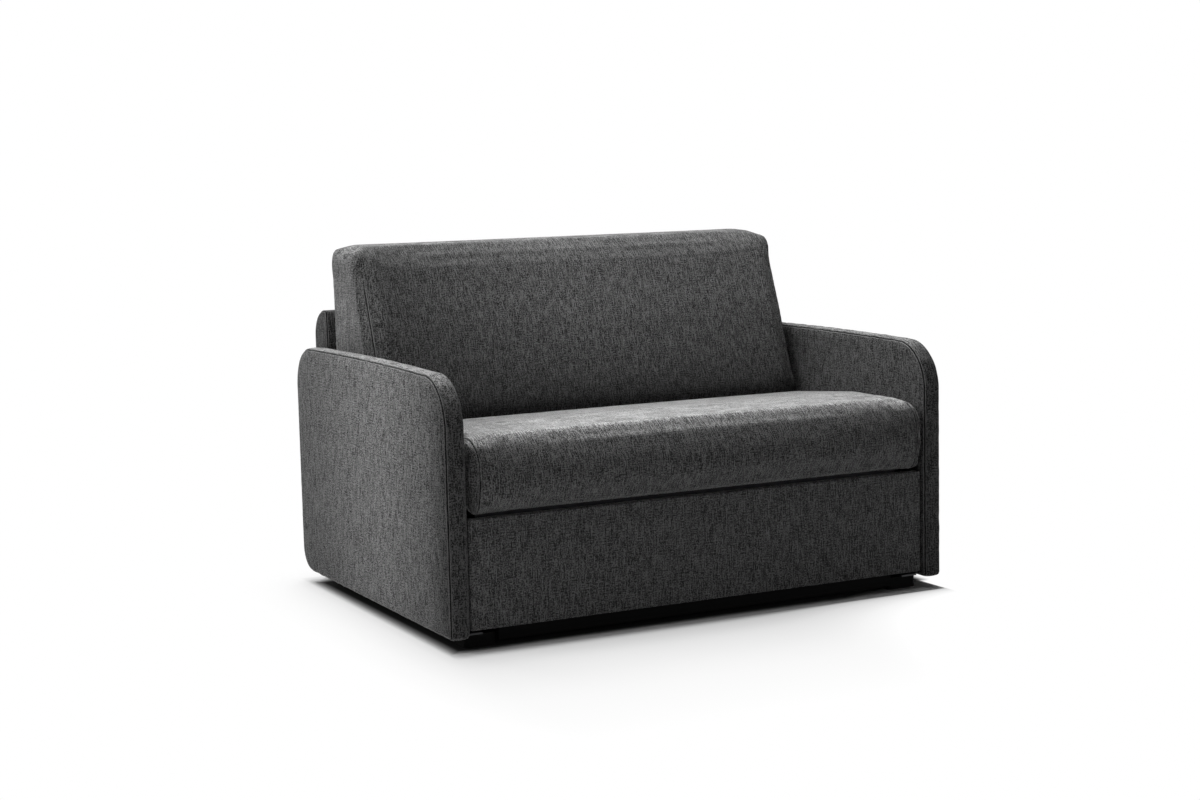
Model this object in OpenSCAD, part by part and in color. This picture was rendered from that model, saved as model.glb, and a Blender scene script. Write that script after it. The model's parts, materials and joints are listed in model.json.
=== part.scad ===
// Two-seat sofa bed: slim upholstered arms, a fixed front panel and a back shell hold a
// three-section bed frame that lifts and flips forward. Millimetres, +Z up, front toward -Y.
// The origin lies on the floor under the middle of the whole folded sofa.

/* [Body] */
// Width over both arms
sofa_w = 1340; // [1240:10:1640]
// Thickness of an upholstered arm
arm_t = 50; // [44:1:70]
// Depth of an arm, front to rear
arm_depth = 1000; // [990:5:1060]
// Height of the arm tops above the floor
arm_top = 620; // [560:5:680]
// Clear height under the body, which is the height of the feet
floor_gap = 30; // [24:1:45]
// Radius of an arm's front top corner
arm_front_top_r = 115; // [60:5:150]
// Radius of an arm's rear top corner
arm_rear_top_r = 100; // [60:5:150]
// Radius of an arm's rear bottom corner
arm_rear_bottom_r = 65; // [20:5:90]
// Radius of an arm's front bottom corner
arm_front_bottom_r = 10; // [9:1:30]
// Thickness of foam and fabric over a wooden core
skin = 6; // [4:0.5:8]

/* [Front panel] */
// Height of the front panel's top edge above the floor
fascia_top = 300; // [280:2:302]
// How far the front panel lies behind the arms' front edges
fascia_set_back = 10; // [6:1:14]
// Thickness of the upholstered front panel
fascia_t = 22; // [20:1:26]
// Thickness of the foam and fabric on the front panel
fascia_skin = 5; // [3:0.5:6]
// Thickness of the wooden rail behind the front panel
rail_t = 16; // [14:1:20]

/* [Back shell] */
// Thickness of the fixed back shell
shell_t = 92; // [70:1:96]
// Height of the back shell's top edge above the floor
shell_top = 717; // [660:1:760]
// Radius of the back shell's top rear edge
shell_top_r = 72; // [30:2:80]

/* [Bed frame] */
// Side of the square steel tubes
tube = 22; // [20:1:26]
// Wall of the square steel tubes
tube_wall = 1.5; // [1:0.5:2]
// Length of a lifting link, pivot to pivot
link_len = 187; // [175:1:190]
// Angle of the folded links below the horizontal
link_rest_deg = 30; // [28:1:32]
// Thickness of a link and of a leg
link_t = 4; // [3:0.5:5]
// Width of a link
link_w = 30; // [24:1:34]
// Thickness of a hinge plate
hinge_t = 4; // [3:0.5:5]
// Radius of every pivot pin
pin_r = 6; // [4:0.5:7]
// Radial running clearance of every pivot pin
run_clear = 0.05; // [0.02:0.01:0.1]

/* [Bedding] */
// Thickness of the three mattress sections
mattress_t = 99.7; // [90:0.1:101]
// Gap that soft parts keep from their neighbours
soft_gap = 0.3; // [0.3:0.1:0.6]
// Thickness of the seat cushion at its front
seat_t = 166; // [140:1:180]
// Fall of the seat cushion's top from front to rear
seat_fall = 24; // [0:1:40]
// How far the seat cushion bulges beyond the arms
seat_proud = 15; // [5:1:18]
// Height of the back cushion's top above the floor
back_top = 881; // [840:1:900]
// Thickness of the back cushion at the seat
back_foot_t = 195; // [180:1:215]
// How far the reclined back face leans back over its height
back_lean = 150; // [120:1:156]

/* [Hidden] */

// Overrun of every cut
over = 1;
// Gap between a wooden core and the foam round it
core_gap = 0.2;
// Facets of the large rounded outlines, and of pins and bores
$fn = 96;
pin_fn = 48;

// The whole folded sofa is centred on the origin, so the arms' front plane lies here
front_y = (seat_proud - arm_depth) / 2;

// Layers across the sofa, from the arm inward: base plate, links and legs, mating hinge
// plates, hinge plates, side rails
plate_t = 4;
link_side_gap = 2;
hinge_side_gap = 1;
link_to_hinge_gap = 5;
arm_in_x = sofa_w / 2 - arm_t;
web_x = arm_in_x - plate_t;
link_x1 = web_x - link_side_gap;
link_x0 = link_x1 - link_t;
mate_x1 = link_x0 - link_to_hinge_gap;
mate_x0 = mate_x1 - hinge_t;
plate_x1 = mate_x0 - hinge_side_gap;
rail_x1 = plate_x1 - hinge_t;
rail_x0 = rail_x1 - tube;
mattress_side_gap = 2;
mattress_x = rail_x1 - mattress_side_gap;
seat_x = mate_x1 + hinge_side_gap;
back_x = mate_x1;

// Heights of the folded stack, from the floor up
cross_tube_h = 20;
cross_tube_w = 30;
lift_clear = 4;
head_z = floor_gap + plate_t + cross_tube_h + lift_clear;
fold_gap = 1.5;
stack_h = soft_gap + mattress_t + fold_gap;
hinge_z = head_z + tube + stack_h;
middle_z = hinge_z + stack_h;
middle_top = middle_z + tube;
board_t = 4.7;
cushion_z = middle_top + board_t + soft_gap;
seat_top = cushion_z + seat_t;

// Places along the depth, measured from the arms' front plane
eye_r = 11;
eye_clear = 3;
rail_y = fascia_set_back + fascia_t;
hinge_y = rail_y + rail_t + eye_clear + eye_r;
shell_inset = 15;
shell_y = arm_depth - shell_inset - shell_t;
shell_gap = 7;
bed_rear_y = shell_y - shell_gap;
fold_y = bed_rear_y - mattress_t - soft_gap - tube / 2;
fold_z = middle_z + tube / 2;
mattress_set = 2;
head_set = 26;
head_y0 = hinge_y + head_set;
swing_back = link_len * (1 - cos(link_rest_deg));
head_rear_gap = 26;
head_y1 = shell_y - swing_back - head_rear_gap;
middle_y0 = hinge_y + mattress_set;
middle_rear_gap = 2;
middle_y1 = fold_y - tube / 2 - middle_rear_gap;
foot_rise = 14;
foot_z0 = fold_z + foot_rise;
block_top_gap = 37;
foot_z1 = back_top - block_top_gap;
back_board_t = 4;
back_board_y = fold_y - tube / 2 - back_board_t;
seat_depth = back_board_y - back_foot_t;

// Pivots of the lifting links on the base plates, and of the head section on the links
lift_y = head_z + tube / 2;
pivot_z = lift_y + link_len * sin(link_rest_deg);
front_pivot_share = 0.25;
rear_pivot_share = 0.55;
front_pivot_y = arm_depth * front_pivot_share;
rear_pivot_y = arm_depth * rear_pivot_share;
link_reach = link_len * cos(link_rest_deg);
link_rise = link_len * (1 + sin(link_rest_deg));

// Leg pivot on the middle section, and the leg that just reaches the floor when unfolded
leg_pivot_in = 54;
leg_pivot_drop = 11.5;
leg_y = middle_y1 - leg_pivot_in;
leg_z = middle_z - leg_pivot_drop;
leg_len = 2 * hinge_z + link_rise - leg_z;
glide_len = 20;
glide_t = 8.7;

// Moves a piece given from the arms' front plane into the sofa's own frame
module placed() translate([0, front_y, 0]) children();

// Draws a right-hand piece, and the same piece mirrored to the left
module both_sides() {
    children();
    mirror([1, 0, 0]) children();
}

// Draws a right-hand piece on one side: 1 is right, -1 is left
module on_side(side) {
    if (side > 0) children();
    else mirror([1, 0, 0]) children();
}

// A box between two corners
module block(a, b) translate(a) cube(b - a);

// A square tube between two corners, open along one axis
module hollow_bar(a, b, along) {
    inset = [for (i = [0:2]) i == along ? -over : tube_wall];
    difference() {
        block(a, b);
        block(a + inset, b - inset);
    }
}

// A side outline in Y and Z, as a slab between two X planes
module slab(x0, x1) translate([x0, 0, 0]) rotate([90, 0, 90]) linear_extrude(height = x1 - x0) children();

// A round bar along X
module bar_x(x0, x1, at, r) translate([x0, at[0], at[1]]) rotate([0, 90, 0])
    cylinder(h = x1 - x0, r = r, $fn = pin_fn);

// A flat strip with round ends between two points
module strip(a, b, w) {
    reach = norm(b - a);
    translate(a) rotate(atan2(b[1] - a[1], b[0] - a[0])) {
        translate([0, -w / 2]) square([reach, w]);
        circle(r = w / 2, $fn = pin_fn);
        translate([reach, 0]) rotate(180) circle(r = w / 2, $fn = pin_fn);
    }
}

// The hole for a running pin
module pin_hole(at) translate(at) circle(r = pin_r + run_clear, $fn = pin_fn);

// A panel outline with its own radius at each corner: front bottom, front top, rear top, rear bottom
module round_panel(a, b, r) difference() {
    translate(a) square(b - a);
    for (i = [0:3])
        let (front = i < 2, low = i == 0 || i == 3,
            corner = [front ? a[0] : b[0], low ? a[1] : b[1]])
            difference() {
                translate(corner - [front ? over : r[i], low ? over : r[i]]) square(r[i] + over);
                translate(corner + [front ? r[i] : -r[i], low ? r[i] : -r[i]]) circle(r = r[i]);
            }
}

// Rounded outlines with any corner radii, drawn in by an inset, for the soft forms
corner_steps = 6;
least_r = 0.6;
function unit(v) = v / norm(v);
function half_angle(p, v, n) = acos(unit(p - v) * unit(n - v)) / 2;
function drawn_in(p, v, n, inset) =
    v + unit(unit(p - v) + unit(n - v)) * inset / sin(half_angle(p, v, n));
function fillet(p, v, n, r) =
    let (u = unit(p - v), w = unit(n - v), half = half_angle(p, v, n),
        c = v + unit(u + w) * r / sin(half), s = v + u * r / tan(half) - c,
        e = v + w * r / tan(half) - c, turn = atan2(e[1], e[0]) - atan2(s[1], s[0]),
        sweep = turn > 180 ? turn - 360 : turn < -180 ? turn + 360 : turn)
    [for (k = [0:corner_steps])
        c + r * [cos(atan2(s[1], s[0]) + sweep * k / corner_steps),
            sin(atan2(s[1], s[0]) + sweep * k / corner_steps)]];
function point(o, j) = let (q = o[(j + len(o)) % len(o)]) [q[0], q[1]];
function inset_point(o, j, inset) = drawn_in(point(o, j - 1), point(o, j), point(o, j + 1), inset);
function ring(o, inset) = [for (j = [0:len(o) - 1])
    each fillet(inset_point(o, j - 1, inset), inset_point(o, j, inset), inset_point(o, j + 1, inset),
        max(o[j][2] - inset, least_r))];

// How far a quarter round of radius r has fallen at the distance d from its end
function round_fall(r, d) = d >= r ? 0 : r - sqrt(r * r - (r - d) * (r - d));

// X places along a cushion: close together over the rounded ends, even between them
end_steps = 7;
span_steps = 10;
function stations(half, end) = concat(
    [for (k = [0:end_steps]) -half + end * (1 - cos(90 * k / end_steps))],
    [for (k = [1:span_steps - 1]) (half - end) * (2 * k / span_steps - 1)],
    [for (k = [end_steps:-1:0]) half - end * (1 - cos(90 * k / end_steps))]);

// A closed skin over rings of equal point count
module loft(rings) {
    n = len(rings[0]);
    m = len(rings);
    mid = function(q) [for (i = [0:2]) [for (p = q) p[i]] * [for (p = q) 1] / len(q)];
    points = concat([for (q = rings) each q], [mid(rings[0]), mid(rings[m - 1])]);
    sides = [for (i = [0:m - 2]) for (j = [0:n - 1])
        let (a = i * n + j, b = i * n + (j + 1) % n, c = b + n, d = a + n)
        each [[a, b, c], [a, c, d]]];
    caps = [for (j = [0:n - 1])
        each [[m * n, (j + 1) % n, j], [m * n + 1, (m - 1) * n + j, (m - 1) * n + (j + 1) % n]]];
    polyhedron(points = points, faces = concat(sides, caps));
}

// Arms: a wooden core in a jacket of foam and fabric, drilled for the base plate's bolts
bolt_r = 4;
bolt_clear = 0.2;
bolt_share = [0.08, 0.24, 0.47, 0.84];
bolt_rise = 22;
bolt_z = floor_gap + plate_t + bolt_rise;
bolt_head_r = 7;
bolt_head_h = 3.5;
bolt_tip_in = 8;
bolt_x1 = sofa_w / 2 - skin - bolt_tip_in;
dowel_r = 5;
dowel_len = 70;
dowel_share = [0.25, 0.86];
dowel_y = shell_y + shell_t / 2;
function dowel_z(share) = floor_gap + (arm_top - floor_gap) * share;

module arm_outline(inset)
    round_panel([inset, floor_gap + inset], [arm_depth - inset, arm_top - inset],
        [arm_front_bottom_r - inset, arm_front_top_r - inset, arm_rear_top_r - inset,
            arm_rear_bottom_r - inset]);

module arm_holes(clear) {
    for (share = bolt_share)
        bar_x(web_x - over, bolt_x1 + over, [arm_depth * share, bolt_z], bolt_r + clear);
    for (share = dowel_share)
        bar_x(arm_in_x - dowel_len, arm_in_x + dowel_len / 2 + over, [dowel_y, dowel_z(share)],
            dowel_r + clear);
}

module arm_core(side) color("burlywood") placed() on_side(side) difference() {
    slab(arm_in_x + skin + core_gap, sofa_w / 2 - skin - core_gap) arm_outline(skin + core_gap);
    arm_holes(bolt_clear);
}

module arm_cover(side) color([0.27, 0.27, 0.28]) placed() on_side(side) difference() {
    slab(arm_in_x, sofa_w / 2) arm_outline(0);
    slab(arm_in_x + skin, sofa_w / 2 - skin) arm_outline(skin);
    arm_holes(bolt_clear);
}

// Front panel: a covered board screwed to a black rail, which reaches down as a toe board between the feet
fascia_lift = 15;
fascia_side_gap = 5;
fascia_z0 = floor_gap + fascia_lift;
fascia_x = arm_in_x - fascia_side_gap;
fascia_r = 7;
rail_lift = 18;
rail_z0 = floor_gap + rail_lift;
toe_share = 0.4;
toe_z0 = floor_gap * toe_share;
toe_side_gap = 2;
rail_top_drop = 50;
rail_z1 = fascia_top - rail_top_drop;
screw_r = 2.5;
screw_head_r = 5;
screw_head_h = 2.4;
screw_tip_in = 4;
screw_share = [-0.9, -0.3, 0.3, 0.9];
screw_height_share = [0.25, 0.8];

module fascia_outline(inset)
    round_panel([fascia_set_back + inset, fascia_z0 + inset], [rail_y - inset, fascia_top - inset],
        [fascia_r - inset, fascia_r - inset, fascia_r - inset, fascia_r - inset]);

module fascia_screw_holes(clear)
    for (sx = screw_share, sz = screw_height_share)
        translate([rail_x0 * sx, rail_y + rail_t + over, rail_z0 + (rail_z1 - rail_z0) * sz])
            rotate([90, 0, 0])
                cylinder(h = rail_t + fascia_t - screw_tip_in + over, r = screw_r + clear, $fn = pin_fn);

module fascia_board() color("burlywood") placed() difference() {
    slab(-fascia_x + fascia_skin + core_gap, fascia_x - fascia_skin - core_gap)
        fascia_outline(fascia_skin + core_gap);
    fascia_screw_holes(run_clear);
}

module fascia_cover() color([0.22, 0.22, 0.23]) placed() difference() {
    slab(-fascia_x, fascia_x) fascia_outline(0);
    slab(-fascia_x + fascia_skin, fascia_x - fascia_skin) fascia_outline(fascia_skin);
    fascia_screw_holes(bolt_clear);
}

module front_rail() color([0.1, 0.1, 0.1]) placed() difference() {
    block([-web_x, rail_y, toe_z0], [web_x, rail_y + rail_t, rail_z1]);
    both_sides()
        block([foot_x - foot_w / 2 - toe_side_gap, rail_y - over, toe_z0 - over],
            [web_x + over, rail_y + rail_t + over, rail_z0]);
    fascia_screw_holes(bolt_clear);
}

module fascia_screws() color("silver") placed()
    for (sx = screw_share, sz = screw_height_share)
        translate([rail_x0 * sx, rail_y + rail_t, rail_z0 + (rail_z1 - rail_z0) * sz])
            rotate([90, 0, 0]) {
                cylinder(h = rail_t + fascia_t - screw_tip_in - over, r = screw_r, $fn = pin_fn);
                translate([0, 0, -screw_head_h])
                    cylinder(h = screw_head_h, r = screw_head_r, $fn = pin_fn);
            }

// Back shell: a wooden core in foam and fabric, doweled between the arms
shell_edge_r = 10;
shell_bottom_r = 8;

module shell_outline(inset)
    round_panel([shell_y + inset, floor_gap + inset],
        [shell_y + shell_t - inset, shell_top - inset],
        [shell_bottom_r - inset, shell_edge_r - inset, shell_top_r - inset, shell_bottom_r - inset]);

module back_core() color("burlywood") placed() difference() {
    slab(-arm_in_x + skin + core_gap, arm_in_x - skin - core_gap) shell_outline(skin + core_gap);
    both_sides() arm_holes(bolt_clear);
}

module back_cover() color([0.2, 0.2, 0.21]) placed() difference() {
    slab(-arm_in_x, arm_in_x) shell_outline(0);
    slab(-arm_in_x + skin, arm_in_x - skin) shell_outline(skin);
    both_sides() arm_holes(bolt_clear);
}

module back_dowels() color("silver") placed() both_sides()
    for (share = dowel_share)
        bar_x(arm_in_x - dowel_len + over, arm_in_x + dowel_len / 2, [dowel_y, dowel_z(share)], dowel_r);

// Base plates: angle profiles along the arms that carry the lifting links
flange_w = 44;
base_y0 = 36;
base_y1 = shell_y - eye_clear;
web_h = 44;
lug_r = 20;
front_tab_len = 40;
front_tab_h = 110;

function front_pivot() = [front_pivot_y, pivot_z];
function rear_pivot() = [rear_pivot_y, pivot_z];

module pivot_lug(at) {
    foot_half = lug_r * 2;
    base_top = floor_gap + web_h;
    polygon([[at[0] - foot_half, base_top - over], [at[0] - lug_r, at[1]], [at[0] + lug_r, at[1]],
        [at[0] + foot_half, base_top - over]]);
    translate(at) circle(r = lug_r, $fn = pin_fn);
}

module base_plate(side) color([0.25, 0.25, 0.27]) placed() on_side(side) {
    difference() {
        slab(web_x, arm_in_x) difference() {
            union() {
                translate([base_y0, floor_gap]) square([base_y1 - base_y0, web_h]);
                translate([base_y0, floor_gap]) square([front_tab_len, front_tab_h]);
                pivot_lug(front_pivot());
                pivot_lug(rear_pivot());
            }
            pin_hole(front_pivot());
            pin_hole(rear_pivot());
        }
        arm_holes(bolt_clear);
    }
    block([arm_in_x - flange_w, base_y0, floor_gap], [web_x, base_y1, floor_gap + plate_t]);
}

// Two square tubes lie on the flanges and keep the base plates apart
cross_tube_share = [0.18, 0.64];

module base_cross_tubes() color([0.25, 0.25, 0.27]) placed()
    for (share = cross_tube_share)
        hollow_bar([-web_x, arm_depth * share - cross_tube_w / 2, floor_gap + plate_t],
            [web_x, arm_depth * share + cross_tube_w / 2, floor_gap + plate_t + cross_tube_h], 0);

// Rubber pads on the cross tubes that the folded frame rests on
pad_gap = 0.1;
pad_w = 16;

module rest_pads() color("black") placed() both_sides()
    for (share = cross_tube_share)
        block([rail_x0 + tube / 2 - pad_w / 2, arm_depth * share - pad_w / 2,
            floor_gap + plate_t + cross_tube_h],
            [rail_x0 + tube / 2 + pad_w / 2, arm_depth * share + pad_w / 2, head_z - pad_gap]);

module arm_bolts() color("silver") placed() both_sides()
    for (share = bolt_share) {
        bar_x(web_x - bolt_head_h, web_x, [arm_depth * share, bolt_z], bolt_head_r);
        bar_x(web_x, bolt_x1, [arm_depth * share, bolt_z], bolt_r);
    }

// A shouldered pivot pin: shaft, shoulder against its carrier and head beyond the moving plate
pin_head_r = 9;
pin_head_h = 1.4;
pin_end_gap = 0.1;

module base_pivot_pins() color("silver") placed() both_sides()
    for (at = [front_pivot(), rear_pivot()]) {
        bar_x(link_x0 - pin_end_gap - pin_head_h, arm_in_x, at, pin_r);
        bar_x(link_x1 + pin_end_gap, web_x, at, pin_head_r);
        bar_x(link_x0 - pin_end_gap - pin_head_h, link_x0 - pin_end_gap, at, pin_head_r);
    }

// Feet: four black glides under the flanges' ends
foot_w = 80;
foot_len = 60;
foot_r = 8;
foot_x = arm_in_x - foot_w / 2;
foot_front_y = 42;
foot_rear_in = 8;

module foot_pad(x, y) translate([x - foot_w / 2, y, 0]) linear_extrude(height = floor_gap)
    round_panel([0, 0], [foot_w, foot_len], [foot_r, foot_r, foot_r, foot_r]);

module feet() color("black") placed() both_sides() {
    foot_pad(foot_x, foot_front_y);
    foot_pad(foot_x, base_y1 - foot_len - foot_rear_in);
}

// Lifting links, folded: each falls from its base pivot to the head section
module lift_link(side, y) color([0.3, 0.3, 0.32]) placed() on_side(side)
    slab(link_x0, link_x1) difference() {
        strip([y, pivot_z], [y + link_reach, lift_y], link_w);
        pin_hole([y, pivot_z]);
        pin_hole([y + link_reach, lift_y]);
    }

// Slats, evenly spread between two cross tubes, and the end caps that hold them
slat_w = 53;
slat_t = 8;
slat_drop = 2;
slat_fit = 0.2;
holder_wall = 2.5;
holder_len = 26;
holder_end = 4;
function slat_places(a, b, count) = [for (i = [0:count - 1]) a + (b - a) * (i + 0.5) / count];

// A slat across the bed, lying flat with its top at the origin
module slat() {
    half = rail_x0 - holder_end - slat_fit;
    block([-half, -slat_w / 2, -slat_t], [half, slat_w / 2, 0]);
}

module slat_holder() {
    g = holder_wall + slat_fit;
    difference() {
        block([rail_x0 - holder_len, -slat_w / 2 - g, -slat_t - g], [rail_x0, slat_w / 2 + g, g]);
        block([rail_x0 - holder_len - over, -slat_w / 2 - slat_fit, -slat_t - slat_fit],
            [rail_x0 - holder_end, slat_w / 2 + slat_fit, slat_fit]);
    }
}

// Head section: a tube frame with slats, carried by the links, under the first mattress section
head_slats_n = 6;
slat_top_in = 5;

module head_side_rails() color([0.3, 0.3, 0.32]) placed() both_sides()
    hollow_bar([rail_x0, head_y0, head_z], [rail_x1, head_y1, head_z + tube], 1);

module head_cross_tubes() color([0.3, 0.3, 0.32]) placed()
    for (y = [head_y0, head_y1 - tube])
        hollow_bar([-rail_x0, y, head_z], [rail_x0, y + tube, head_z + tube], 0);

module head_slats() color("wheat") placed()
    for (y = slat_places(head_y0 + tube, head_y1 - tube, head_slats_n))
        translate([0, y, head_z + tube - slat_top_in]) slat();

module head_slat_holders() color("dimgray") placed() both_sides()
    for (y = slat_places(head_y0 + tube, head_y1 - tube, head_slats_n))
        translate([0, y, head_z + tube - slat_top_in]) slat_holder();

module head_pivot_pins() color("silver") placed() both_sides()
    for (y = [front_pivot_y, rear_pivot_y]) {
        at = [y + link_reach, lift_y];
        bar_x(rail_x1, link_x1 + pin_end_gap + pin_head_h, at, pin_r);
        bar_x(rail_x1, link_x0 - pin_end_gap, at, pin_head_r);
        bar_x(link_x1 + pin_end_gap, link_x1 + pin_end_gap + pin_head_h, at, pin_head_r);
    }

// Hinge between the head and middle sections, in front of the folded mattress
hinge_tab = 46;

module head_hinge_plates() color([0.3, 0.3, 0.32]) placed() both_sides()
    slab(rail_x1, plate_x1) difference() {
        union() {
            strip([hinge_y, hinge_z], [head_y0 + eye_r, head_z + tube / 2], 2 * eye_r);
            translate([head_y0, head_z]) square([hinge_tab, tube]);
        }
        pin_hole([hinge_y, hinge_z]);
    }

module head_hinge_pins() color("silver") placed() both_sides() {
    at = [hinge_y, hinge_z];
    bar_x(rail_x1, mate_x1 + pin_end_gap + pin_head_h, at, pin_r);
    bar_x(plate_x1, mate_x0 - pin_end_gap, at, pin_head_r);
    bar_x(mate_x1 + pin_end_gap, mate_x1 + pin_end_gap + pin_head_h, at, pin_head_r);
}

mattress_r = 36;
mattress_edge_in = 4;

module head_mattress() color("whitesmoke") placed()
    translate([0, 0, head_z + tube + soft_gap]) linear_extrude(height = mattress_t)
        round_panel([-mattress_x, hinge_y + mattress_set], [mattress_x, head_y1 + mattress_edge_in],
            [mattress_r, mattress_r, mattress_r, mattress_r]);

// Middle section: lies upside down over the head section and carries the seat
middle_slats_n = 5;

module middle_side_rails() color([0.3, 0.3, 0.32]) placed() both_sides()
    hollow_bar([rail_x0, middle_y0, middle_z], [rail_x1, middle_y1, middle_top], 1);

module middle_cross_tubes() color([0.3, 0.3, 0.32]) placed()
    for (y = [middle_y0, middle_y1 - tube])
        hollow_bar([-rail_x0, y, middle_z], [rail_x0, y + tube, middle_top], 0);

module middle_slats() color("wheat") placed()
    for (y = slat_places(middle_y0 + tube, middle_y1 - tube, middle_slats_n))
        translate([0, y, middle_z + slat_top_in]) mirror([0, 0, 1]) slat();

module middle_slat_holders() color("dimgray") placed() both_sides()
    for (y = slat_places(middle_y0 + tube, middle_y1 - tube, middle_slats_n))
        translate([0, y, middle_z + slat_top_in]) mirror([0, 0, 1]) slat_holder();

module middle_hinge_plates() color([0.3, 0.3, 0.32]) placed() both_sides() {
    slab(mate_x0, mate_x1) difference() {
        union() {
            strip([hinge_y, hinge_z], [middle_y0 + 2 * eye_r, fold_z], 2 * eye_r);
            translate([middle_y0 + eye_r, middle_z]) square([hinge_tab, tube]);
        }
        pin_hole([hinge_y, hinge_z]);
    }
    block([rail_x1, middle_y0 + eye_r, middle_z], [mate_x0, middle_y0 + eye_r + hinge_tab, middle_top]);
}

// Hinge between the middle and foot sections, at the foot of the back cushion
fold_tab = 42;

module fold_hinge_plates() color([0.3, 0.3, 0.32]) placed() both_sides()
    slab(rail_x1, plate_x1) difference() {
        union() {
            translate([fold_y, fold_z]) circle(r = eye_r, $fn = pin_fn);
            translate([fold_y - fold_tab, fold_z - eye_r]) square([fold_tab, 2 * eye_r]);
        }
        pin_hole([fold_y, fold_z]);
    }

module fold_hinge_pins() color("silver") placed() both_sides() {
    at = [fold_y, fold_z];
    bar_x(rail_x1, mate_x1 + pin_end_gap + pin_head_h, at, pin_r);
    bar_x(plate_x1, mate_x0 - pin_end_gap, at, pin_head_r);
    bar_x(mate_x1 + pin_end_gap, mate_x1 + pin_end_gap + pin_head_h, at, pin_head_r);
}

module leg_brackets() color([0.3, 0.3, 0.32]) placed() both_sides()
    slab(rail_x1, plate_x1) difference() {
        union() {
            translate([leg_y, leg_z]) circle(r = 2 * eye_r, $fn = pin_fn);
            translate([leg_y - 2 * eye_r, leg_z]) square([4 * eye_r, middle_top - leg_z]);
        }
        pin_hole([leg_y, leg_z]);
    }

module leg_pins() color("silver") placed() both_sides() {
    at = [leg_y, leg_z];
    bar_x(rail_x1, link_x1 + pin_end_gap + pin_head_h, at, pin_r);
    bar_x(plate_x1, link_x0 - pin_end_gap, at, pin_head_r);
    bar_x(link_x1 + pin_end_gap, link_x1 + pin_end_gap + pin_head_h, at, pin_head_r);
}

module middle_mattress() color("whitesmoke") placed()
    translate([0, 0, hinge_z + fold_gap]) linear_extrude(height = mattress_t)
        round_panel([-mattress_x, middle_y0], [mattress_x, middle_y1],
            [mattress_r, mattress_r, mattress_r, mattress_r]);

// Seat: a board on the middle section's frame under the cushion
board_front_in = 44;
board_rear_in = 6;

module seat_board() color("burlywood") placed()
    block([-plate_x1, board_front_in, middle_top], [plate_x1, seat_depth - board_rear_in,
        middle_top + board_t]);

// The cushion's side outline: flat below, bulging in front, falling to the rear, higher at mid width
seat_crown = 7;
seat_end_r = 14;
seat_corner_r = 22;
seat_front_r = 62;
seat_belly_r = 90;
seat_toe_r = 16;
seat_heel_r = 22;
seat_toe_in = 22;
seat_belly_share = 0.42;
seat_draw_in = 5;
seat_rear_gap = 1;

function seat_outline(x) =
    let (k = abs(x) / seat_x, fall = round_fall(seat_corner_r, seat_x - abs(x)),
        top = seat_top - seat_crown / 2 + seat_crown * (1 - k * k) - fall,
        proud = seat_proud - seat_draw_in * pow(k, 6), rear = seat_depth - seat_rear_gap)
    [[seat_toe_in - proud, cushion_z, seat_toe_r],
        [-proud, cushion_z + seat_t * seat_belly_share, seat_belly_r],
        [-proud, top, seat_front_r], [rear, top - seat_fall, seat_heel_r],
        [rear, cushion_z, seat_toe_r]];

module seat_cushion() color([0.27, 0.27, 0.28]) placed()
    loft([for (x = stations(seat_x, seat_corner_r))
        [for (p = ring(seat_outline(x), round_fall(seat_end_r, seat_x - abs(x)))) [x, p[0], p[1]]]]);

// Legs: flat bars folded along the middle section's rails, with plastic glides at their ends
module leg(side) color([0.3, 0.3, 0.32]) placed() on_side(side)
    slab(link_x0, link_x1) difference() {
        union() {
            translate([leg_y, leg_z]) circle(r = link_w / 2, $fn = pin_fn);
            translate([leg_y - leg_len + glide_len, leg_z - link_w / 2])
                square([leg_len - glide_len, link_w]);
        }
        pin_hole([leg_y, leg_z]);
    }

module leg_glide(side) color("black") placed() on_side(side)
    block([web_x - pin_end_gap - glide_t, leg_y - leg_len, leg_z - link_w / 2],
        [web_x - pin_end_gap, leg_y - leg_len + glide_len, leg_z + link_w / 2]);

// Foot section: stands upright behind the back cushion while the sofa is folded
foot_slats_n = 4;

module foot_side_rails() color([0.3, 0.3, 0.32]) placed() both_sides()
    hollow_bar([rail_x0, fold_y - tube / 2, foot_z0], [rail_x1, fold_y + tube / 2, foot_z1], 2);

module foot_cross_tubes() color([0.3, 0.3, 0.32]) placed()
    for (z = [foot_z0, foot_z1 - tube])
        hollow_bar([-rail_x0, fold_y - tube / 2, z], [rail_x0, fold_y + tube / 2, z + tube], 0);

module on_foot_slats()
    for (z = slat_places(foot_z0 + tube, foot_z1 - tube, foot_slats_n))
        translate([0, fold_y + tube / 2 - slat_top_in, z]) rotate([-90, 0, 0]) children();

module foot_slats() color("wheat") placed() on_foot_slats() slat();

module foot_slat_holders() color("dimgray") placed() both_sides() on_foot_slats() slat_holder();

foot_tab_z0 = foot_z0 + eye_r;
foot_tab = 28;

module foot_hinge_plates() color([0.3, 0.3, 0.32]) placed() both_sides() {
    slab(mate_x0, mate_x1) difference() {
        strip([fold_y, fold_z], [fold_y, foot_tab_z0 + foot_tab - eye_r], 2 * eye_r);
        pin_hole([fold_y, fold_z]);
    }
    block([rail_x1, fold_y - eye_r, foot_tab_z0], [mate_x0, fold_y + eye_r, foot_tab_z0 + foot_tab - eye_r]);
}

foot_mattress_drop = 12;
foot_mattress_top_gap = 4;
border_t = 6.5;
border_rear = 2;
border_top_r = 45;
border_wrap_z = back_top - border_top_r - border_t;

module foot_mattress() color("whitesmoke") placed()
    translate([0, bed_rear_y, 0]) rotate([90, 0, 0]) linear_extrude(height = mattress_t)
        round_panel([-mattress_x, foot_z0 - foot_mattress_drop],
            [mattress_x, border_wrap_z - foot_mattress_top_gap],
            [mattress_r, mattress_r, mattress_r, mattress_r]);

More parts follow.
